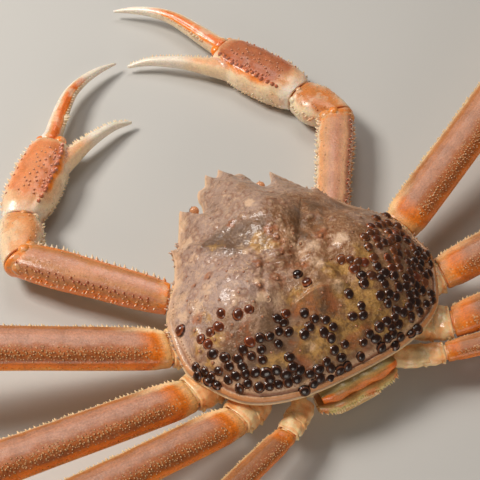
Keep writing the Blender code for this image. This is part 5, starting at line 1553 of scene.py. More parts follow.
def add_edge_spines(skin, edge):
    """Spines and small teeth along the shell's sides, and a row of grains over its rear rim."""
    draw = np.random.default_rng(5)
    run = np.roll(edge, -1, 0) - np.roll(edge, 1, 0)
    out = unit(np.stack([run[:, 1], -run[:, 0]], axis=-1))
    travelled = np.concatenate([[0.0], np.cumsum(np.linalg.norm(np.diff(edge, axis=0), axis=1))])
    spines, grains = [], []
    for reach in np.arange(0.0, travelled[-1], 0.0011):
        index = int(np.searchsorted(travelled, reach + draw.uniform(-0.0003, 0.0003)) % len(edge))
        x, y = edge[index]
        share = y / CARAPACE_WIDTH
        if share < 0.10:
            inward = edge[index] * 0.948
            level = float(shell_heights(inward[None], edge[index][None], np.array([0.948]))[0])
            grains.append(((*inward, level), (*out[index] * 0.4, 1.0), draw.uniform(0.0003, 0.0005)))
        if -0.30 < share < 0.33 and draw.uniform() < 0.42:
            height = draw.uniform(0.0009, 0.0024) * float(smooth_step(-0.36, -0.15, np.array(share)))
            level = float(rim_heights(y)) - draw.uniform(0.0002, 0.0011)
            spines.append(((x, y, level), (out[index, 0], out[index, 1] + 0.45, 0.15), height))
    kinds = ((spines, 0.42, 0.0002, THORN, 0.25), (grains, 0.8, 0.0001, KNOB, 0.5))
    for rows, width, least, profile, dark in kinds:
        roots, outs, heights = (np.array(column) for column in zip(*rows))
        thorns(skin, roots, unit(outs), heights, heights * width + least, (0.94, 0.0, 0.0), dark,
               profile=profile, stain=0.15)


def egg_places(tree, draw):
    """Place, outward direction and tints of each egg case: the listed ones, then their crowds."""
    found = []
    for brown, warm, places in ((0.0, 0.0, DARK_EGGS), (0.8, 0.0, BROWN_EGGS), (0.4, 0.8, WARM_EGGS)):
        for column, row in places:
            spot, normal = on_shell(tree, column, row)
            if spot is not None:
                found.append((spot, normal, brown, warm))
    for column, row, wide, tall, brown, tries in EGG_CROWDS:
        for _ in range(tries):
            turn, reach = draw.uniform(0.0, 2.0 * np.pi), math.sqrt(draw.uniform())
            spot, normal = on_shell(tree, column + wide * reach * math.cos(turn),
                                    row + tall * reach * math.sin(turn))
            if spot is not None and min((spot - other[0]).length for other in found) > EGG_SPACING:
                found.append((spot, normal, brown, 0.0))
    return found


def build_eggs(tree):
    """Egg cases: glossy flattened domes on a thin flange, seated on the shell."""
    sizes = bpy.context.scene.snow_crab_sizes
    draw = np.random.default_rng(3)
    skin = Skin()
    profile = [(1.17, -0.16), (1.16, 0.02), (1.07, 0.10), (1.00, 0.24), (0.93, 0.42), (0.83, 0.60),
               (0.69, 0.76), (0.52, 0.88), (0.33, 0.96), (0.15, 0.993)]
    sides = 20
    turn = 2.0 * np.pi * np.arange(sides) / sides
    rows = len(profile)
    faces = [grid_faces(rows, sides), fan_faces(range((rows - 1) * sides, rows * sides), rows * sides),
             fan_faces(range(sides), rows * sides + 1, flip=True)]
    level = np.clip(np.concatenate([np.repeat([rise for _, rise in profile], sides), [1.0, 0.0]]), 0.0, 1.0)
    growth = np.stack([level, level * 0, level * 0], axis=-1)
    viewer = -camera_axes()[1]
    for spot, normal, brown, warm in egg_places(tree, draw):
        out = Vector(normal if normal.z > 0.0 else -normal)
        steep = 1.0 - max(out.dot(viewer), 0.0)
        out = (out + viewer * 0.4 * steep + Vector(draw.uniform(-0.10, 0.10, 3))).normalized()
        across = np.array(out.orthogonal().normalized())
        spin = draw.uniform(0.0, np.pi)
        other = np.cross(out, across)
        out = np.array(out)
        cos, sin = np.cos(spin), np.sin(spin)
        across, other = across * cos + other * sin, other * cos - across * sin
        radius = sizes.egg_radius * draw.uniform(0.90, 1.08) * (1.0 + 0.20 * steep)
        height = sizes.egg_height * draw.uniform(0.86, 1.10) * (1.0 + 0.5 * steep)
        circle = (across * np.cos(turn)[:, None] * draw.uniform(1.0, 1.18)
                  + other * np.sin(turn)[:, None]) * radius
        base = np.array(spot) - out * 0.0003
        rings = [base + circle * wide + out * height * rise for wide, rise in profile]
        points = np.concatenate(rings + [(base + out * height)[None], (base - out * 0.0006)[None]])
        tint = (brown * draw.uniform(0.6, 1.2) + draw.uniform(0.0, 0.15), warm * draw.uniform(0.6, 1.2))
        skin.add(points, faces, (0.0, min(tint[0], 1.0), min(tint[1], 1.0)), growth)
    skin.piece("egg_cases", egg_material(), "shell")


def build_worm_marks(tree):
    """Curled chalky worm tubes on the shell."""
    skin = Skin()
    for column, row, start in WORM_MARKS:
        spot, normal = on_shell(tree, column, row)
        if spot is None:
            continue
        out = np.array(normal if normal.z > 0.0 else -normal)
        across = np.array(Vector(out).orthogonal().normalized())
        other = np.cross(out, across)
        angles = np.radians(start) + np.linspace(0.0, 4.2, 16)
        radius = 0.0009 + 0.00035 * np.linspace(0.0, 1.0, 16)
        curl = across[None] * np.cos(angles)[:, None] + other[None] * np.sin(angles)[:, None]
        path = np.array(spot) + curl * radius[:, None] + out * 0.00008
        run = unit(np.gradient(path, axis=0))
        side = unit(np.cross(run, out))
        turn = 2.0 * np.pi * np.arange(8) / 8
        thick = 0.00026 * np.linspace(0.5, 1.0, 16)
        circle = side[:, None] * np.cos(turn)[None, :, None] + out * np.sin(turn)[None, :, None]
        rings = path[:, None] + circle * thick[:, None, None]
        points = np.concatenate([rings.reshape(-1, 3), path[:1], path[-1:]])
        faces = [grid_faces(16, 8), fan_faces(range(8), 128, flip=True), fan_faces(range(120, 128), 129)]
        skin.add(points, faces, (0.5, 0.0, 0.0), (0.9, 0.0, 0.0))
    skin.piece("worm_tubes", shell_material(), "shell")


# Body under the shell


def evened(rough, voxel, rounds):
    """Mesh, points and normals of an object rebuilt in small even faces and smoothed."""
    bpy.context.scene.collection.objects.link(rough)
    remesh = rough.modifiers.new("even", "REMESH")
    remesh.mode = "VOXEL"
    remesh.voxel_size = voxel
    relax = rough.modifiers.new("relax", "SMOOTH")
    relax.factor = 0.5
    relax.iterations = rounds
    mesh = bpy.data.meshes.new_from_object(rough.evaluated_get(bpy.context.evaluated_depsgraph_get()))
    old = rough.data
    bpy.data.objects.remove(rough)
    bpy.data.meshes.remove(old)
    values = []
    for name in ("co", "normal"):
        flat = np.zeros(len(mesh.vertices) * 3, np.float32)
        mesh.vertices.foreach_get(name, flat)
        values.append(flat.reshape(-1, 3).astype(float))
    return mesh, *values


def rounded_copy(node, voxel, rounds):
    """Finer and rounder copy of a node's mesh."""
    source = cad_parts[node]
    return evened(bpy.data.objects.new(node + "_rough", source.data.copy()), voxel, rounds)


def set_shading(mesh, place, growth):
    """Write both shading values to a mesh."""
    for label, values in (("place", place), ("growth", growth)):
        values = np.ascontiguousarray(values, np.float32)
        mesh.attributes.new(label, "FLOAT_VECTOR", "POINT").data.foreach_set("vector", values.ravel())
    mesh.shade_smooth()


def build_thorax():
    """Thorax with the seams of its plates fanning out to the leg bases."""
    mesh, points, normals = rounded_copy("thorax", 0.0011, 6)
    seams = np.full(len(points), 1.0)
    under = smooth_step(0.010, 0.004, points[:, 2])
    for left, right in ((0.006, -0.0135), (-0.013, -0.0335), (-0.031, -0.0500), (0.022, 0.0060)):
        for sign in (-1.0, 1.0):
            line = np.array([(sign * 0.014, left - 0.006), (sign * 0.030, (left + right) * 0.5),
                             (sign * 0.047, right)])
            distance, _ = line_distance(points[:, :2], line)
            seams = np.minimum(seams, distance)
    fold = np.exp(-(seams / 0.0009) ** 2)
    rib = np.exp(-((seams - 0.0022) / 0.0014) ** 2)
    points = points + normals * ((rib * 0.0004 - fold * 0.0008) * (0.25 + 0.75 * under))[:, None]
    points[:, 2] = np.maximum(points[:, 2], 0.0)
    mesh.vertices.foreach_set("co", points.astype(np.float32).ravel())
    sides = smooth_step(0.006, 0.012, points[:, 2]) * smooth_step(0.024, 0.016, points[:, 2])
    orange = sides * smooth_step(0.034, 0.046, np.abs(points[:, 0])) * 0.55
    place = np.stack([points[:, 0] * 0, fold, orange], axis=-1)
    set_shading(mesh, place, place * 0)
    dress(bpy.data.objects.new("thorax_plates", mesh), belly_material(), "belly", "thorax")


def build_abdomen():
    """The two plates of the abdomen behind the shell, and the jointed flap under the body."""
    draw = np.random.default_rng(8)
    skin = Skin()
    for index, rows in enumerate((UPPER_PLATE, LOWER_PLATE)):
        stations = [(Vector((x, ABDOMEN_BAND_Y + back, z)), wide, high) for x, back, z, wide, high in rows]

        def waves(along, angle, length):
            return 0.0003 * np.sin(along * 21.0 + angle * 0.03) + 0.0003 * bump_at(angle, 60.0, 20.0)
        plate = Limb(stations, "right", waves, squareness=0.65)
        first = len(skin.place)
        tube(skin, plate, 56, 0.0004)
        if index:
            along = np.linspace(0.02, 0.99, 34) + draw.uniform(-0.010, 0.010, 34)
            length = draw.uniform(0.0009, 0.0024, 34)
            grow(skin, plate, along, -6.0 + draw.uniform(-7, 7, 34), length, length * 0.28 + 0.0005, 0.0,
                 lean=0.0)
        set_kind(skin, first, float(index))
    skin.piece("abdomen_band", band_material(), "mouth", "abdomen_base")

    marks = [0.12, 0.28, 0.44, 0.60, 0.76, 0.90]

    def rings(along, angle, length):
        seam = sum(bump_at(along, mark, 0.010) for mark in marks)
        ridge = sum(bump_at(along, mark - 0.03, 0.018) for mark in marks)
        top = smooth_step(-20.0, 20.0, angle) * smooth_step(200.0, 160.0, angle)
        return (-0.0005 * seam + 0.00025 * ridge) * (1.0 - 0.6 * top)
    stations = [(Vector((0.0, y, z)), wide, high) for y, z, wide, high in FLAP_STATIONS]
    flap = Limb(stations, "right", rings, squareness=0.5)
    skin = Skin()
    tube(skin, flap, 64, 0.0006)
    place = skin.place[0].copy()
    fold = np.max([bump_at(place[:, 0], mark, 0.008) for mark in marks], axis=0)
    skin.place[0] = np.stack([place[:, 0], fold, place[:, 0] * 0], axis=-1)
    skin.piece("abdomen_plates", belly_material(), "belly", "abdomen_flap")


def build_mouth():
    """Outer mouth plates with a fringe of hairs along their inner edges."""
    slope = Vector((0.0, MOUTH_LEAN, 1.0)).normalized()
    out = Vector((0.0, slope.z, -slope.y))
    for side in ("left", "right"):
        draw = np.random.default_rng(21)
        stations = []
        for z, half_width in MOUTH_PLATE:
            centre = mirrored((MOUTH_PLATE_X, MOUTH_FOOT + z * MOUTH_LEAN, z), side)
            centre = centre + out * (MOUTH_PLATE_THICKNESS / 2.0 + GAP)
            stations.append((centre, half_width, MOUTH_PLATE_THICKNESS / 2.0))

        def ridges(along, angle, length):
            return 0.0004 * bump_at(along, 0.52, 0.04) - 0.0004 * bump_at(along, 0.60, 0.03)
        plate = Limb(stations, side, ridges, squareness=0.6)
        skin = Skin()
        tube(skin, plate, 40, 0.0004)
        hairs = np.linspace(0.05, 0.95, 40)
        grow(skin, plate, hairs, 180.0 + draw.uniform(-16, 16, 40), draw.uniform(0.0010, 0.0018, 40),
             0.00014, 0.6, lean=0.2, sides=4)
        grow(skin, plate, hairs, 0.0 + draw.uniform(-16, 16, 40), draw.uniform(0.0005, 0.0009, 40), 0.00016,
             0.3, lean=0.2, sides=4)
        skin.piece("mouth_plate_" + side, coxa_material(), "mouth", "maxilliped_" + side)


def build_eyes():
    """Eyes: a ringed stalk with a dark cornea."""
    for side, drop in EYE_SHIFT.items():
        root, neck, ball = (mirrored(EYE[key], side) + Vector(drop) for key in ("root", "neck", "ball"))
        stalk, radius = EYE["stalk_radius"], EYE["radius"] * EYE_SHARE
        reach = (ball - neck).normalized()
        stations = [(root, stalk, stalk), (neck, stalk, stalk)]
        stations += [(ball + reach * radius * along, radius * wide, radius * wide)
                     for along, wide in EYE_RINGS]

        def rings(along, angle, length):
            return 0.0003 * bump_at(along, 0.50, 0.03) - 0.0002 * bump_at(along, 0.60, 0.02)
        skin = Skin()
        tube(skin, Limb(stations, side, rings, squareness=1.0), 32, 0.00025)
        skin.piece("eye_stalk_" + side, eye_material(), "eye", "eye_" + side)


def build_antennae():
    """Short jointed feelers under the snout."""
    for side in ("left", "right"):
        stations = [(mirrored(point, side), radius, radius) for point, radius in ANTENNA]

        def rings(along, angle, length):
            ripple = 0.00012 * np.sin(along * 70.0) * smooth_step(0.3, 0.5, along)
            return ripple - 0.0003 * bump_at(along, 0.30, 0.02)
        skin = Skin()
        tube(skin, Limb(stations, side, rings, squareness=1.0), 16, 0.00025)
        skin.piece("feeler_" + side, coxa_material(), "feeler", "antenna_" + side)


# Limbs


def leg_relief(along, angle, length):
    """Crest at the front margin, groove beside it, a low ridge over the rough band, rolled ends."""
    body = smooth_step(0.03, 0.10, along) * smooth_step(0.98, 0.92, along)
    shape = (0.00045 * bump_at(angle, 172.0, 7.0) - 0.00035 * bump_at(angle, 120.0, 6.0)
             + 0.00030 * bump_at(angle, 58.0, 14.0) - 0.00025 * bump_at(angle, 5.0, 8.0))
    rim = 0.0004 * bump_at(along, 1.0 - 0.0015 / length, 0.0012 / length)
    neck = -0.0004 * bump_at(along, 0.0045 / length, 0.002 / length)
    return shape * body + rim + neck


# Rings of the soft skin at a joint: share of its reach, and size

CUFF_REACH = 0.0026
CUFF_RINGS = ((-1.0, 0.72), (-0.4, 0.82), (0.0, 0.84), (0.4, 0.82), (1.0, 0.72))


def cuff(skin, joint, before, after, wide, high, side):
    """Soft ringed skin across a joint, with a hard knob at its front and rear."""
    joint, before, after = Vector(joint), Vector(before), Vector(after)
    stations = [(joint + (before if along < 0.0 else after) * CUFF_REACH * along, wide * size, high * size)
                for along, size in CUFF_RINGS]

    def pleats(along, angle, length):
        return 0.00018 * np.sin(along * 34.0)
    limb = Limb(stations, side, pleats)
    tube(skin, limb, 28, 0.0004)
    for angle in (0.0, 180.0):
        roots, outs, _ = limb.surface(np.array([0.5]), np.array([angle]))
        size = min(wide, high) * 0.24
        thorns(skin, roots - outs * size * 0.55, outs, size * 1.15, size, (0.5, 0.5, 0.0), 0.0,
               profile=KNUCKLE, sides=12)


def pulled(joints, normals, index):
    """Ends of a segment in its joint planes."""
    near = joints[index] + normals[index] * (GAP / 2.0)
    far = joints[index + 1]
    if normals[index + 1] is not None:
        far = far - normals[index + 1] * (GAP / 2.0)
    return near, far


def leg_spines(skin, limb, draw, size, name):
    """Rows of beads: a pale row along the front margin, rough rows above the rear edge."""
    for angle, spacing, first, last, share, dark, wander in LEG_ROWS[name]:
        count = max(int(limb.length * (last - first) / spacing), 2)
        along, angles = spine_row(draw, angle, count, first, last, wander)
        heights = size * share * draw.uniform(0.50, 1.2, count)
        pale = angle > 160.0 or angle < 10.0
        grow(skin, limb, along, angles, heights, heights * (0.5 if pale else 0.62) + 0.00014, dark,
             profile=THORN if pale else KNOB, stain=0.0 if pale else 0.5)


def build_base(name, path, normals, half_width, half_height, side, slot, node):
    """First joints of a limb: two sleeves, the second out of the first, with a spur at the rear."""
    near, far = pulled(path, normals, 0)
    run = (far - near).normalized()
    across = run.cross(Vector((0.0, 0.0, 1.0))).normalized() * (1.0 if side == "right" else -1.0)
    skin = Skin()

    def folds(along, angle, length):
        turn = np.radians(angle)
        crease = (np.sin(turn * 3.0 + along * 6.0) + 0.6 * np.sin(turn * 7.0 + along * 4.0)
                  + 0.4 * np.sin(turn * 2.0 - along * 17.0))
        return 0.00035 * crease * smooth_step(0.0, 0.3, along) - 0.0003 * bump_at(along, 0.86, 0.03)
    for shape, tilt, warm in LEG_BASE_PARTS:
        limb = Limb(straight_stations(near, far, shape, half_width, half_height), side, folds)
        last = normals[1] if tilt == 0.0 else (run + across * tilt).normalized()
        tube(skin, limb, 40, 0.0007, (normals[0], last), (0.0, 0.0006), growth=(0.0, 0.0, warm))
        roots, outs, runs = limb.surface(np.array([0.90]), np.array([-12.0]))
        spur = half_width * 0.24
        thorns(skin, roots - outs * spur * 0.6, unit(outs * 0.9 + runs * 0.5), spur * 1.4, spur,
               (0.90, 0.2, 0.0), 0.0, profile=SPUR, sides=12, stain=0.5)
    skin.piece(name, coxa_material(), slot, node)


def build_legs():
    """The eight walking legs, segment by segment, and the soft skin at their joints."""
    sizes = bpy.context.scene.snow_crab_sizes
    segments = (("merus", FINE_MERUS), ("carpus", CARPUS_SHAPE), ("propodus", PROPODUS_SHAPE))
    for number in LEG_SHARES:
        for side in ("left", "right"):
            draw = np.random.default_rng(number * 10 + (side == "right"))
            path = leg_path(number, side)
            normals = joint_normals(path)
            half_width = LEG_SHARES[number]["width"] * CARAPACE_WIDTH / 2.0
            half_height = half_width * LEG_THICKNESS
            size = sizes.leg_spine * (LEG_SHARES[number]["width"] / LEG_SHARES[1]["width"]) ** 0.7
            label = f"leg{number}_{side}_"
            build_base(label + "base", path, normals, half_width, half_height, side, "leg", label + "coxa")
            for index, (name, shape) in enumerate(segments, 1):
                near, far = pulled(path, normals, index)
                limb = Limb(straight_stations(near, far, shape, half_width, half_height), side, leg_relief)
                skin = Skin()
                tube(skin, limb, sizes.facets, 0.0010, (normals[index], normals[index + 1]),
                     (0.0009, 0.0009))
                leg_spines(skin, limb, draw, size, name)
                set_kind(skin, 0, LEG_BROWN_AND_SHADE[side][number])
                skin.piece(label + name + "_shell", leg_material(), "leg", label + name)
            leg_tip(label, path, normals, half_width, half_height, side, draw, size)
            cuffs = Skin()
            for index, shape in ((1, FINE_MERUS), (2, CARPUS_SHAPE), (3, PROPODUS_SHAPE), (4, DACTYL_SHAPE)):
                before = (path[index] - path[index - 1]).normalized()
                after = (path[index + 1] - path[index]).normalized()
                cuff(cuffs, path[index], before, after, shape[0][1] * half_width, shape[0][2] * half_height,
                     side)
            cuffs.piece(label + "joint_skin", membrane_material(), "leg")


def leg_tip(label, path, normals, half_width, half_height, side, draw, size):
    """Last segment of a leg: slender, finely haired, with a horny tip on the floor."""
    near = path[4] + normals[4] * (GAP / 2.0)
    tip = path[5]
    landing = tip - (tip - near).normalized() * TIP_RUN
    landing.z = TIP_HEIGHT + 0.0003
    stations = straight_stations(near, landing, DACTYL_SHAPE, half_width, half_height)
    stations.append((landing, LEG_TIP_RADIUS * 1.5, LEG_TIP_RADIUS * 1.4))
    stations.append((tip, LEG_TIP_RADIUS * 0.8, LEG_TIP_RADIUS))

    def flutes(along, angle, length):
        body = smooth_step(0.03, 0.12, along) * smooth_step(0.95, 0.7, along)
        return -0.00022 * body * (bump_at(angle, 60.0, 9.0) + bump_at(angle, 120.0, 9.0))
    limb = Limb(stations, side, flutes)
    skin = Skin()
    tube(skin, limb, 32, 0.0009, (normals[4], None), (0.0008, 0.0))
    for angle in (30.0, 90.0, 150.0):
        count = int(limb.length / 0.0018)
        along, angles = spine_row(draw, angle, count, 0.06, 0.86, 8.0)
        heights = size * 0.38 * draw.uniform(0.6, 1.1, count)
        grow(skin, limb, along, angles, heights, heights * 0.3, 0.5, lean=0.9, sides=5)
    skin.piece(label + "tip", leg_material(), "leg", label + "dactyl")


def claw_place(joints, side, along, across, above):
    """World point of a place given along and across the claw from its wrist."""
    up = Vector((0.0, 0.0, 1.0))
    forward = heading(joints["heading"], 0.0)
    outward = up.cross(forward) if side == "left" else forward.cross(up)
    return Vector(joints["wrist"]) + (forward * along + outward * across + up * above) * joints["scale"]


def claw_stations(joints, side, rows):
    """Stations of a palm or finger from its rows of sizes."""
    scale = joints["scale"]
    return [(claw_place(joints, side, *row[:3]), row[3] * scale, row[4] * scale) for row in rows]


def arm_relief(along, angle, length):
    """Low ridges along a claw arm, and its rolled ends."""
    body = smooth_step(0.03, 0.12, along) * smooth_step(0.97, 0.9, along)
    shape = (0.0003 * bump_at(angle, 45.0, 14.0) - 0.0003 * bump_at(angle, 75.0, 10.0)
             + 0.0003 * bump_at(angle, 165.0, 10.0))
    return shape * body + 0.0005 * bump_at(along, 1.0 - 0.0018 / length, 0.0015 / length)


def set_kind(skin, first, kind):
    """Mark the surfaces added since one as another kind of limb."""
    for index in range(first, len(skin.place)):
        place = skin.place[index].copy()
        place[:, 2] = kind
        skin.place[index] = place


def build_arms():
    """Bases, meri and carpi of both claw arms, with the skin and knobs at their joints."""
    sizes = bpy.context.scene.snow_crab_sizes
    for side in ("left", "right"):
        draw = np.random.default_rng(50 + (side == "right"))
        joints = ARM_JOINTS[side]
        body, base, elbow, wrist = (Vector(joints[key]) for key in ("body", "base", "elbow", "wrist"))
        base, elbow = base + ARM_SHIFT[side], elbow + ARM_SHIFT[side]
        forward = heading(joints["heading"], 0.0)
        path = [body, base, elbow, wrist, wrist + forward]
        normals = joint_normals(path)
        label = f"claw_{side}_"
        build_base(label + "base", path, normals, *ARM_BASE_SIZE, side, "claw", label + "coxa")
        for index, name, shape, kind in ((1, "merus", FINE_ARM, 0.5), (2, "carpus", FINE_CARPUS, 0.75)):
            near, far = pulled(path, normals, index)
            limb = Limb(straight_stations(near, far, shape), side, arm_relief)
            skin = Skin()
            tube(skin, limb, sizes.facets, 0.0008, (normals[index], normals[index + 1]), (0.0009, 0.0009))
            for angle, count, first, last, share, dark, wander in ARM_ROWS[name]:
                along, angles = spine_row(draw, angle, count, first, last, wander)
                heights = sizes.claw_spine * share * draw.uniform(0.7, 1.1, count)
                grow(skin, limb, along, angles, heights, heights * 0.42 + 0.00014, dark,
                     profile=KNOB if dark > 0.8 else THORN, stain=0.4 if dark > 0.8 else 0.0)
            for angle, reach, size in ARM_KNOBS:
                reach = 1.0 - (1.0 - reach) * ARM_KNOB_LENGTH / limb.length
                size = size * (CARPUS_KNOB_SHARE if name == "carpus" else 1.0)
                roots, outs, runs = limb.surface(np.array([reach]), np.array([angle]))
                thorns(skin, roots - outs * size * 0.85, unit(outs + runs * 0.55), size * 1.15, size,
                       (0.99, (angle + 90.0) / 360.0, 0.0), 0.0, profile=KNUCKLE, sides=16)
                skin.growth[-1] = skin.growth[-1] * 0.0
            set_kind(skin, 0, kind)
            skin.piece(label + name + "_shell", claw_material(side), "claw", label + name)
        cuffs = Skin()
        for index, (wide, high) in enumerate(ARM_CUFFS, 1):
            before = (path[index] - path[index - 1]).normalized()
            after = (path[index + 1] - path[index]).normalized()
            cuff(cuffs, path[index], before, after, wide, high, side)
        hinge = claw_place(joints, side, HINGE[0], HINGE[1], 0.0)
        cuff(cuffs, hinge, forward, forward, HINGE[2], HINGE[3], side)
        cuffs.piece(label + "joint_skin", membrane_material(), "claw")


def palm_relief(along, angle, length):
    """Swollen rows where the palm's tubercles stand, a furrow between them, and low waves."""
    body = smooth_step(0.02, 0.12, along) * smooth_step(0.99, 0.9, along)
    waves = 0.00022 * np.sin(along * 31.0 + angle * 0.05) * np.sin(angle * 0.09 + along * 9.0)
    rows = (0.0004 * bump_at(angle, 127.0, 7.0) + 0.0002 * bump_at(angle, 96.0, 8.0)
            - 0.0003 * bump_at(angle, 112.0, 7.0))
    return body * (rows + waves)


def blurred(values, faces):
    """Values averaged over the faces round each point."""
    means = np.repeat(values[faces].mean(axis=1), 4)
    total = np.bincount(faces.ravel(), means, len(values))
    return total / np.maximum(np.bincount(faces.ravel(), minlength=len(values)), 1)


def blended(skin, voxel, rounds):
    """One even surface round the overlapping surfaces of a skin, with their shading values."""
    rough = bpy.data.objects.new("rough", skin.mesh("rough"))
    mesh, points, _ = evened(rough, voxel, rounds)
    source = np.concatenate(skin.points)
    place, growth = np.concatenate(skin.place), np.concatenate(skin.growth)
    tree = KDTree(len(source))
    for index, point in enumerate(source):
        tree.insert(point, index)
    tree.balance()
    nearest = np.array([[found[1] for found in tree.find_n(point, 3)] for point in points])
    turn = place[nearest, 1] * 2.0 * np.pi
    around = np.arctan2(np.sin(turn).mean(axis=1), np.cos(turn).mean(axis=1)) / (2.0 * np.pi) % 1.0
    new_place = np.stack([place[nearest, 0].mean(axis=1), around, place[nearest, 2].mean(axis=1)], axis=-1)
    corners = np.zeros(len(mesh.loops), np.int32)
    mesh.loops.foreach_get("vertex_index", corners)
    faces = corners.reshape(-1, 4)
    share = growth[nearest, 2].mean(axis=1)
    for _ in range(24):
        share = blurred(share, faces)
    out = Skin()
    out.add(points, [faces], new_place, np.stack([share * 0, share * 0, share], axis=-1))
    bpy.data.meshes.remove(mesh)
    return out


def finger_relief(along, angle, length):
    """Swollen hinge and two furrows along the moving finger."""
    return (0.0007 * bump_at(along, 0.03, 0.03)
            - 0.0004 * bump_at(angle, 118.0, 10.0) * bump_at(along, 0.35, 0.25)
            - 0.0003 * bump_at(angle, 66.0, 10.0) * bump_at(along, 0.35, 0.25))


def finger_rows(rows, reach):
    """Rows of a finger bent so that its tip lies where the photograph shows it."""
    first, last = rows[0][0], rows[-1][0]
    out = []
    for along, across, above, wide, high in rows:
        share = (along - first) / (last - first)
        out.append((along + reach[0] * share, across + reach[1] * share ** 2, above, wide, high))
    return out


def build_claws():
    """Palms with their fixed fingers, and the moving fingers."""
    sizes = bpy.context.scene.snow_crab_sizes
    for side in ("left", "right"):
        draw = np.random.default_rng(70 + (side == "right"))
        joints = ARM_JOINTS[side]
        wrist, elbow = Vector(joints["wrist"]), Vector(joints["elbow"])
        forward = heading(joints["heading"], 0.0)
        cut = ((wrist - elbow).normalized() + forward).normalized()
        label = f"claw_{side}_"
        stations = claw_stations(joints, side, FINE_PALM)
        stations[0] = (stations[0][0] + cut * (GAP / 2.0), stations[0][1], stations[0][2])
        palm = Limb(stations, side, palm_relief)
        fixed = Limb(claw_stations(joints, side, finger_rows(FIXED_FINGER, FINGER_REACH[side][0])), side)
        skin = Skin()
        tube(skin, palm, 60, 0.0007, (cut, forward), (0.0009, 0.0006))
        tube(skin, fixed, 36, 0.0006, growth=(0.0, 0.0, 1.0))
        skin = blended(skin, 0.00052, 5)
        for angle, count, first, last, share, dark, wander, knob in PALM_ROWS:
            along, angles = spine_row(draw, angle, count, first, last, wander)
            heights = sizes.claw_spine * share * draw.uniform(0.75, 1.1, count)
            profile = KNOB if dark > 0.3 else THORN
            wide = 0.62 if dark > 0.3 else 0.42
            grow(skin, palm, along, angles, heights, heights * wide + 0.00012, dark, profile=profile,
                 sides=8, stain=knob)
        along, angles = spine_row(draw, 24.0, 26, 0.28, 0.96, 3.0)
        heights = 0.0023 * draw.uniform(0.7, 1.15, 26) * (1.1 - 0.5 * along)
        grow(skin, fixed, along, angles, heights, heights * 0.45 + 0.0002, 0.0, lean=0.1)
        skin.place[-1] = skin.place[-1] * [1.0, 0.0, 1.0] + [0.0, 0.24, 0.0]
        skin.piece(label + "palm_shell", claw_material(side), "claw", label + "palm")
        moving = Limb(claw_stations(joints, side, finger_rows(MOVING_FINGER, FINGER_REACH[side][1])), side,
                      finger_relief)
        skin = Skin()
        tube(skin, moving, 40, 0.0006, (forward, None), (0.0006, 0.0))
        for across, above, size in HINGE_KNOBS:
            root = np.array([tuple(claw_place(joints, side, HINGE_ALONG, across, above))])
            rise = unit(np.array([tuple(forward * 0.4 + Vector((0.0, 0.0, 1.0)))]))
            thorns(skin, root, rise, size, size, (0.02, 0.64, 0.0), 0.0, profile=KNUCKLE, sides=16)
            skin.growth[-1] = skin.growth[-1] * 0.0
        along, angles = spine_row(draw, 158.0, 28, 0.16, 0.92, 3.0)
        tall = 0.0013 + 0.0016 * bump_at(along, 0.24, 0.06)
        heights = tall * draw.uniform(0.75, 1.1, 28) * (1.15 - 0.6 * along)
        grow(skin, moving, along, angles, heights, heights * 0.5 + 0.0002, 0.0, lean=0.1)
        skin.place[-1] = skin.place[-1] * [1.0, 0.0, 1.0] + [0.0, 0.68, 0.0]
        set_kind(skin, 0, 1.0)
        skin.piece(label + "moving_finger", claw_material(side), "finger", label + "dactyl")


# Stage


def build_stage():
    """Pale floor, soft studio light, and the camera of the photograph."""
    scene = bpy.context.scene
    mesh = bpy.data.meshes.new("floor")
    half = FLOOR_HALF
    mesh.from_pydata([(-half, -half, 0), (half, -half, 0), (half, half, 0), (-half, half, 0)], [],
                     [(0, 1, 2, 3)])
    floor = bpy.data.objects.new("floor", mesh)
    floor.location.z = FLOOR_LEVEL
    scene.collection.objects.link(floor)
    material = bpy.data.materials.new("pale_floor")
    material.use_nodes = True
    shader = material.node_tree.nodes["Principled BSDF"]
    shader.inputs["Base Color"].default_value = FLOOR_COLOUR
    shader.inputs["Roughness"].default_value = FLOOR_ROUGHNESS
    mesh.materials.append(material)
    world = bpy.data.worlds.new("studio")
    scene.world = world
    world.use_nodes = True
    background = world.node_tree.nodes["Background"]
    background.inputs["Color"].default_value = WORLD_COLOUR
    background.inputs["Strength"].default_value = WORLD_STRENGTH
    for name, place, size, power, colour in LIGHTS:
        light = bpy.data.lights.new(name, "AREA")
        light.size = size
        light.energy = power
        light.color = colour
        lamp = bpy.data.objects.new(name, light)
        lamp.location = place
        lamp.rotation_euler = (Vector(LIGHT_AIM) - Vector(place)).to_track_quat("-Z", "Y").to_euler()
        scene.collection.objects.link(lamp)
    lens = bpy.data.cameras.new("camera")
    lens.lens = CAMERA_LENS
    lens.sensor_width = SENSOR_WIDTH
    lens.clip_start = 0.01
    camera = bpy.data.objects.new("camera", lens)
    camera.location = CAMERA_PLACE
    aim = Vector(CAMERA_TARGET) - Vector(CAMERA_PLACE)
    camera.rotation_euler = aim.to_track_quat("-Z", "Y").to_euler()
    scene.collection.objects.link(camera)
    scene.camera = camera
    scene.view_settings.view_transform = "Standard"


# Operators


class SNOWCRAB_OT_carapace(bpy.types.Operator):
    """Build the shell with its egg cases and worm tubes"""

    bl_idname = "snow_crab.carapace"
    bl_label = "Shell and egg cases"

    def execute(self, context):
        tree = build_carapace()
        build_eggs(tree)
        build_worm_marks(tree)
        return {"FINISHED"}


class SNOWCRAB_OT_thorax(bpy.types.Operator):
    """Build the plates of the underside"""

    bl_idname = "snow_crab.thorax"
    bl_label = "Thorax"

    def execute(self, context):
        build_thorax()
        return {"FINISHED"}


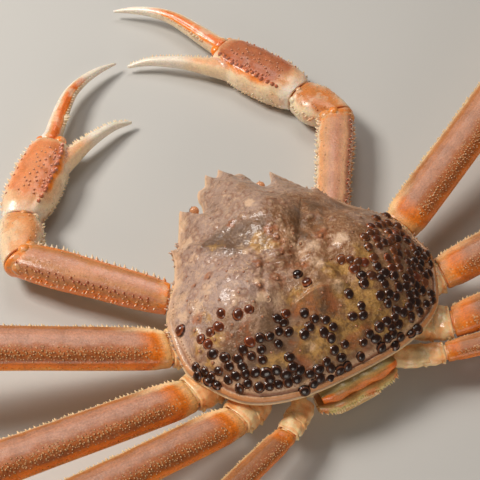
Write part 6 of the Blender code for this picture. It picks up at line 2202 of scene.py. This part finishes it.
class SNOWCRAB_OT_abdomen(bpy.types.Operator):
    """Build the abdomen's band and folded flap"""

    bl_idname = "snow_crab.abdomen"
    bl_label = "Abdomen"

    def execute(self, context):
        build_abdomen()
        return {"FINISHED"}


class SNOWCRAB_OT_face(bpy.types.Operator):
    """Build the mouth plates, eyes and feelers"""

    bl_idname = "snow_crab.face"
    bl_label = "Mouth plates, eyes and feelers"

    def execute(self, context):
        build_mouth()
        build_eyes()
        build_antennae()
        return {"FINISHED"}


class SNOWCRAB_OT_legs(bpy.types.Operator):
    """Build the eight walking legs"""

    bl_idname = "snow_crab.legs"
    bl_label = "Walking legs"

    def execute(self, context):
        build_legs()
        return {"FINISHED"}


class SNOWCRAB_OT_arms(bpy.types.Operator):
    """Build the arms of the claws"""

    bl_idname = "snow_crab.arms"
    bl_label = "Claw arms"

    def execute(self, context):
        build_arms()
        return {"FINISHED"}


class SNOWCRAB_OT_claws(bpy.types.Operator):
    """Build the palms and fingers"""

    bl_idname = "snow_crab.claws"
    bl_label = "Claws"

    def execute(self, context):
        build_claws()
        return {"FINISHED"}


class SNOWCRAB_OT_stage(bpy.types.Operator):
    """Build the floor, the lights and the camera"""

    bl_idname = "snow_crab.stage"
    bl_label = "Stage"

    def execute(self, context):
        build_stage()
        return {"FINISHED"}


OPERATORS = (SNOWCRAB_OT_stage, SNOWCRAB_OT_carapace, SNOWCRAB_OT_thorax, SNOWCRAB_OT_abdomen,
             SNOWCRAB_OT_face, SNOWCRAB_OT_legs, SNOWCRAB_OT_arms, SNOWCRAB_OT_claws)


class SNOWCRAB_PT_panel(bpy.types.Panel):
    """Sizes, colours and pieces of the crab"""

    bl_idname = "SNOWCRAB_PT_panel"
    bl_label = "Snow crab"
    bl_space_type = "VIEW_3D"
    bl_region_type = "UI"
    bl_category = "Snow Crab"

    def draw(self, context):
        for group in (context.scene.snow_crab_sizes, context.scene.snow_crab_colours):
            for name in group.bl_rna.properties.keys():
                if name not in ("rna_type", "name"):
                    self.layout.prop(group, name)
        for operator in OPERATORS:
            self.layout.operator(operator.bl_idname)


CLASSES = (SnowCrabSizes, SnowCrabColours, *OPERATORS, SNOWCRAB_PT_panel)


def register():
    """Register the classes and the scene's settings."""
    for item in CLASSES:
        bpy.utils.register_class(item)
    bpy.types.Scene.snow_crab_sizes = PointerProperty(type=SnowCrabSizes)
    bpy.types.Scene.snow_crab_colours = PointerProperty(type=SnowCrabColours)


def unregister():
    """Take away the settings and the classes."""
    del bpy.types.Scene.snow_crab_colours
    del bpy.types.Scene.snow_crab_sizes
    for item in reversed(CLASSES):
        bpy.utils.unregister_class(item)


def main():
    """Build the whole crab and its stage."""
    register()
    for operator in OPERATORS:
        getattr(bpy.ops.snow_crab, operator.bl_idname.split(".")[1])()


if __name__ == "__main__":
    main()
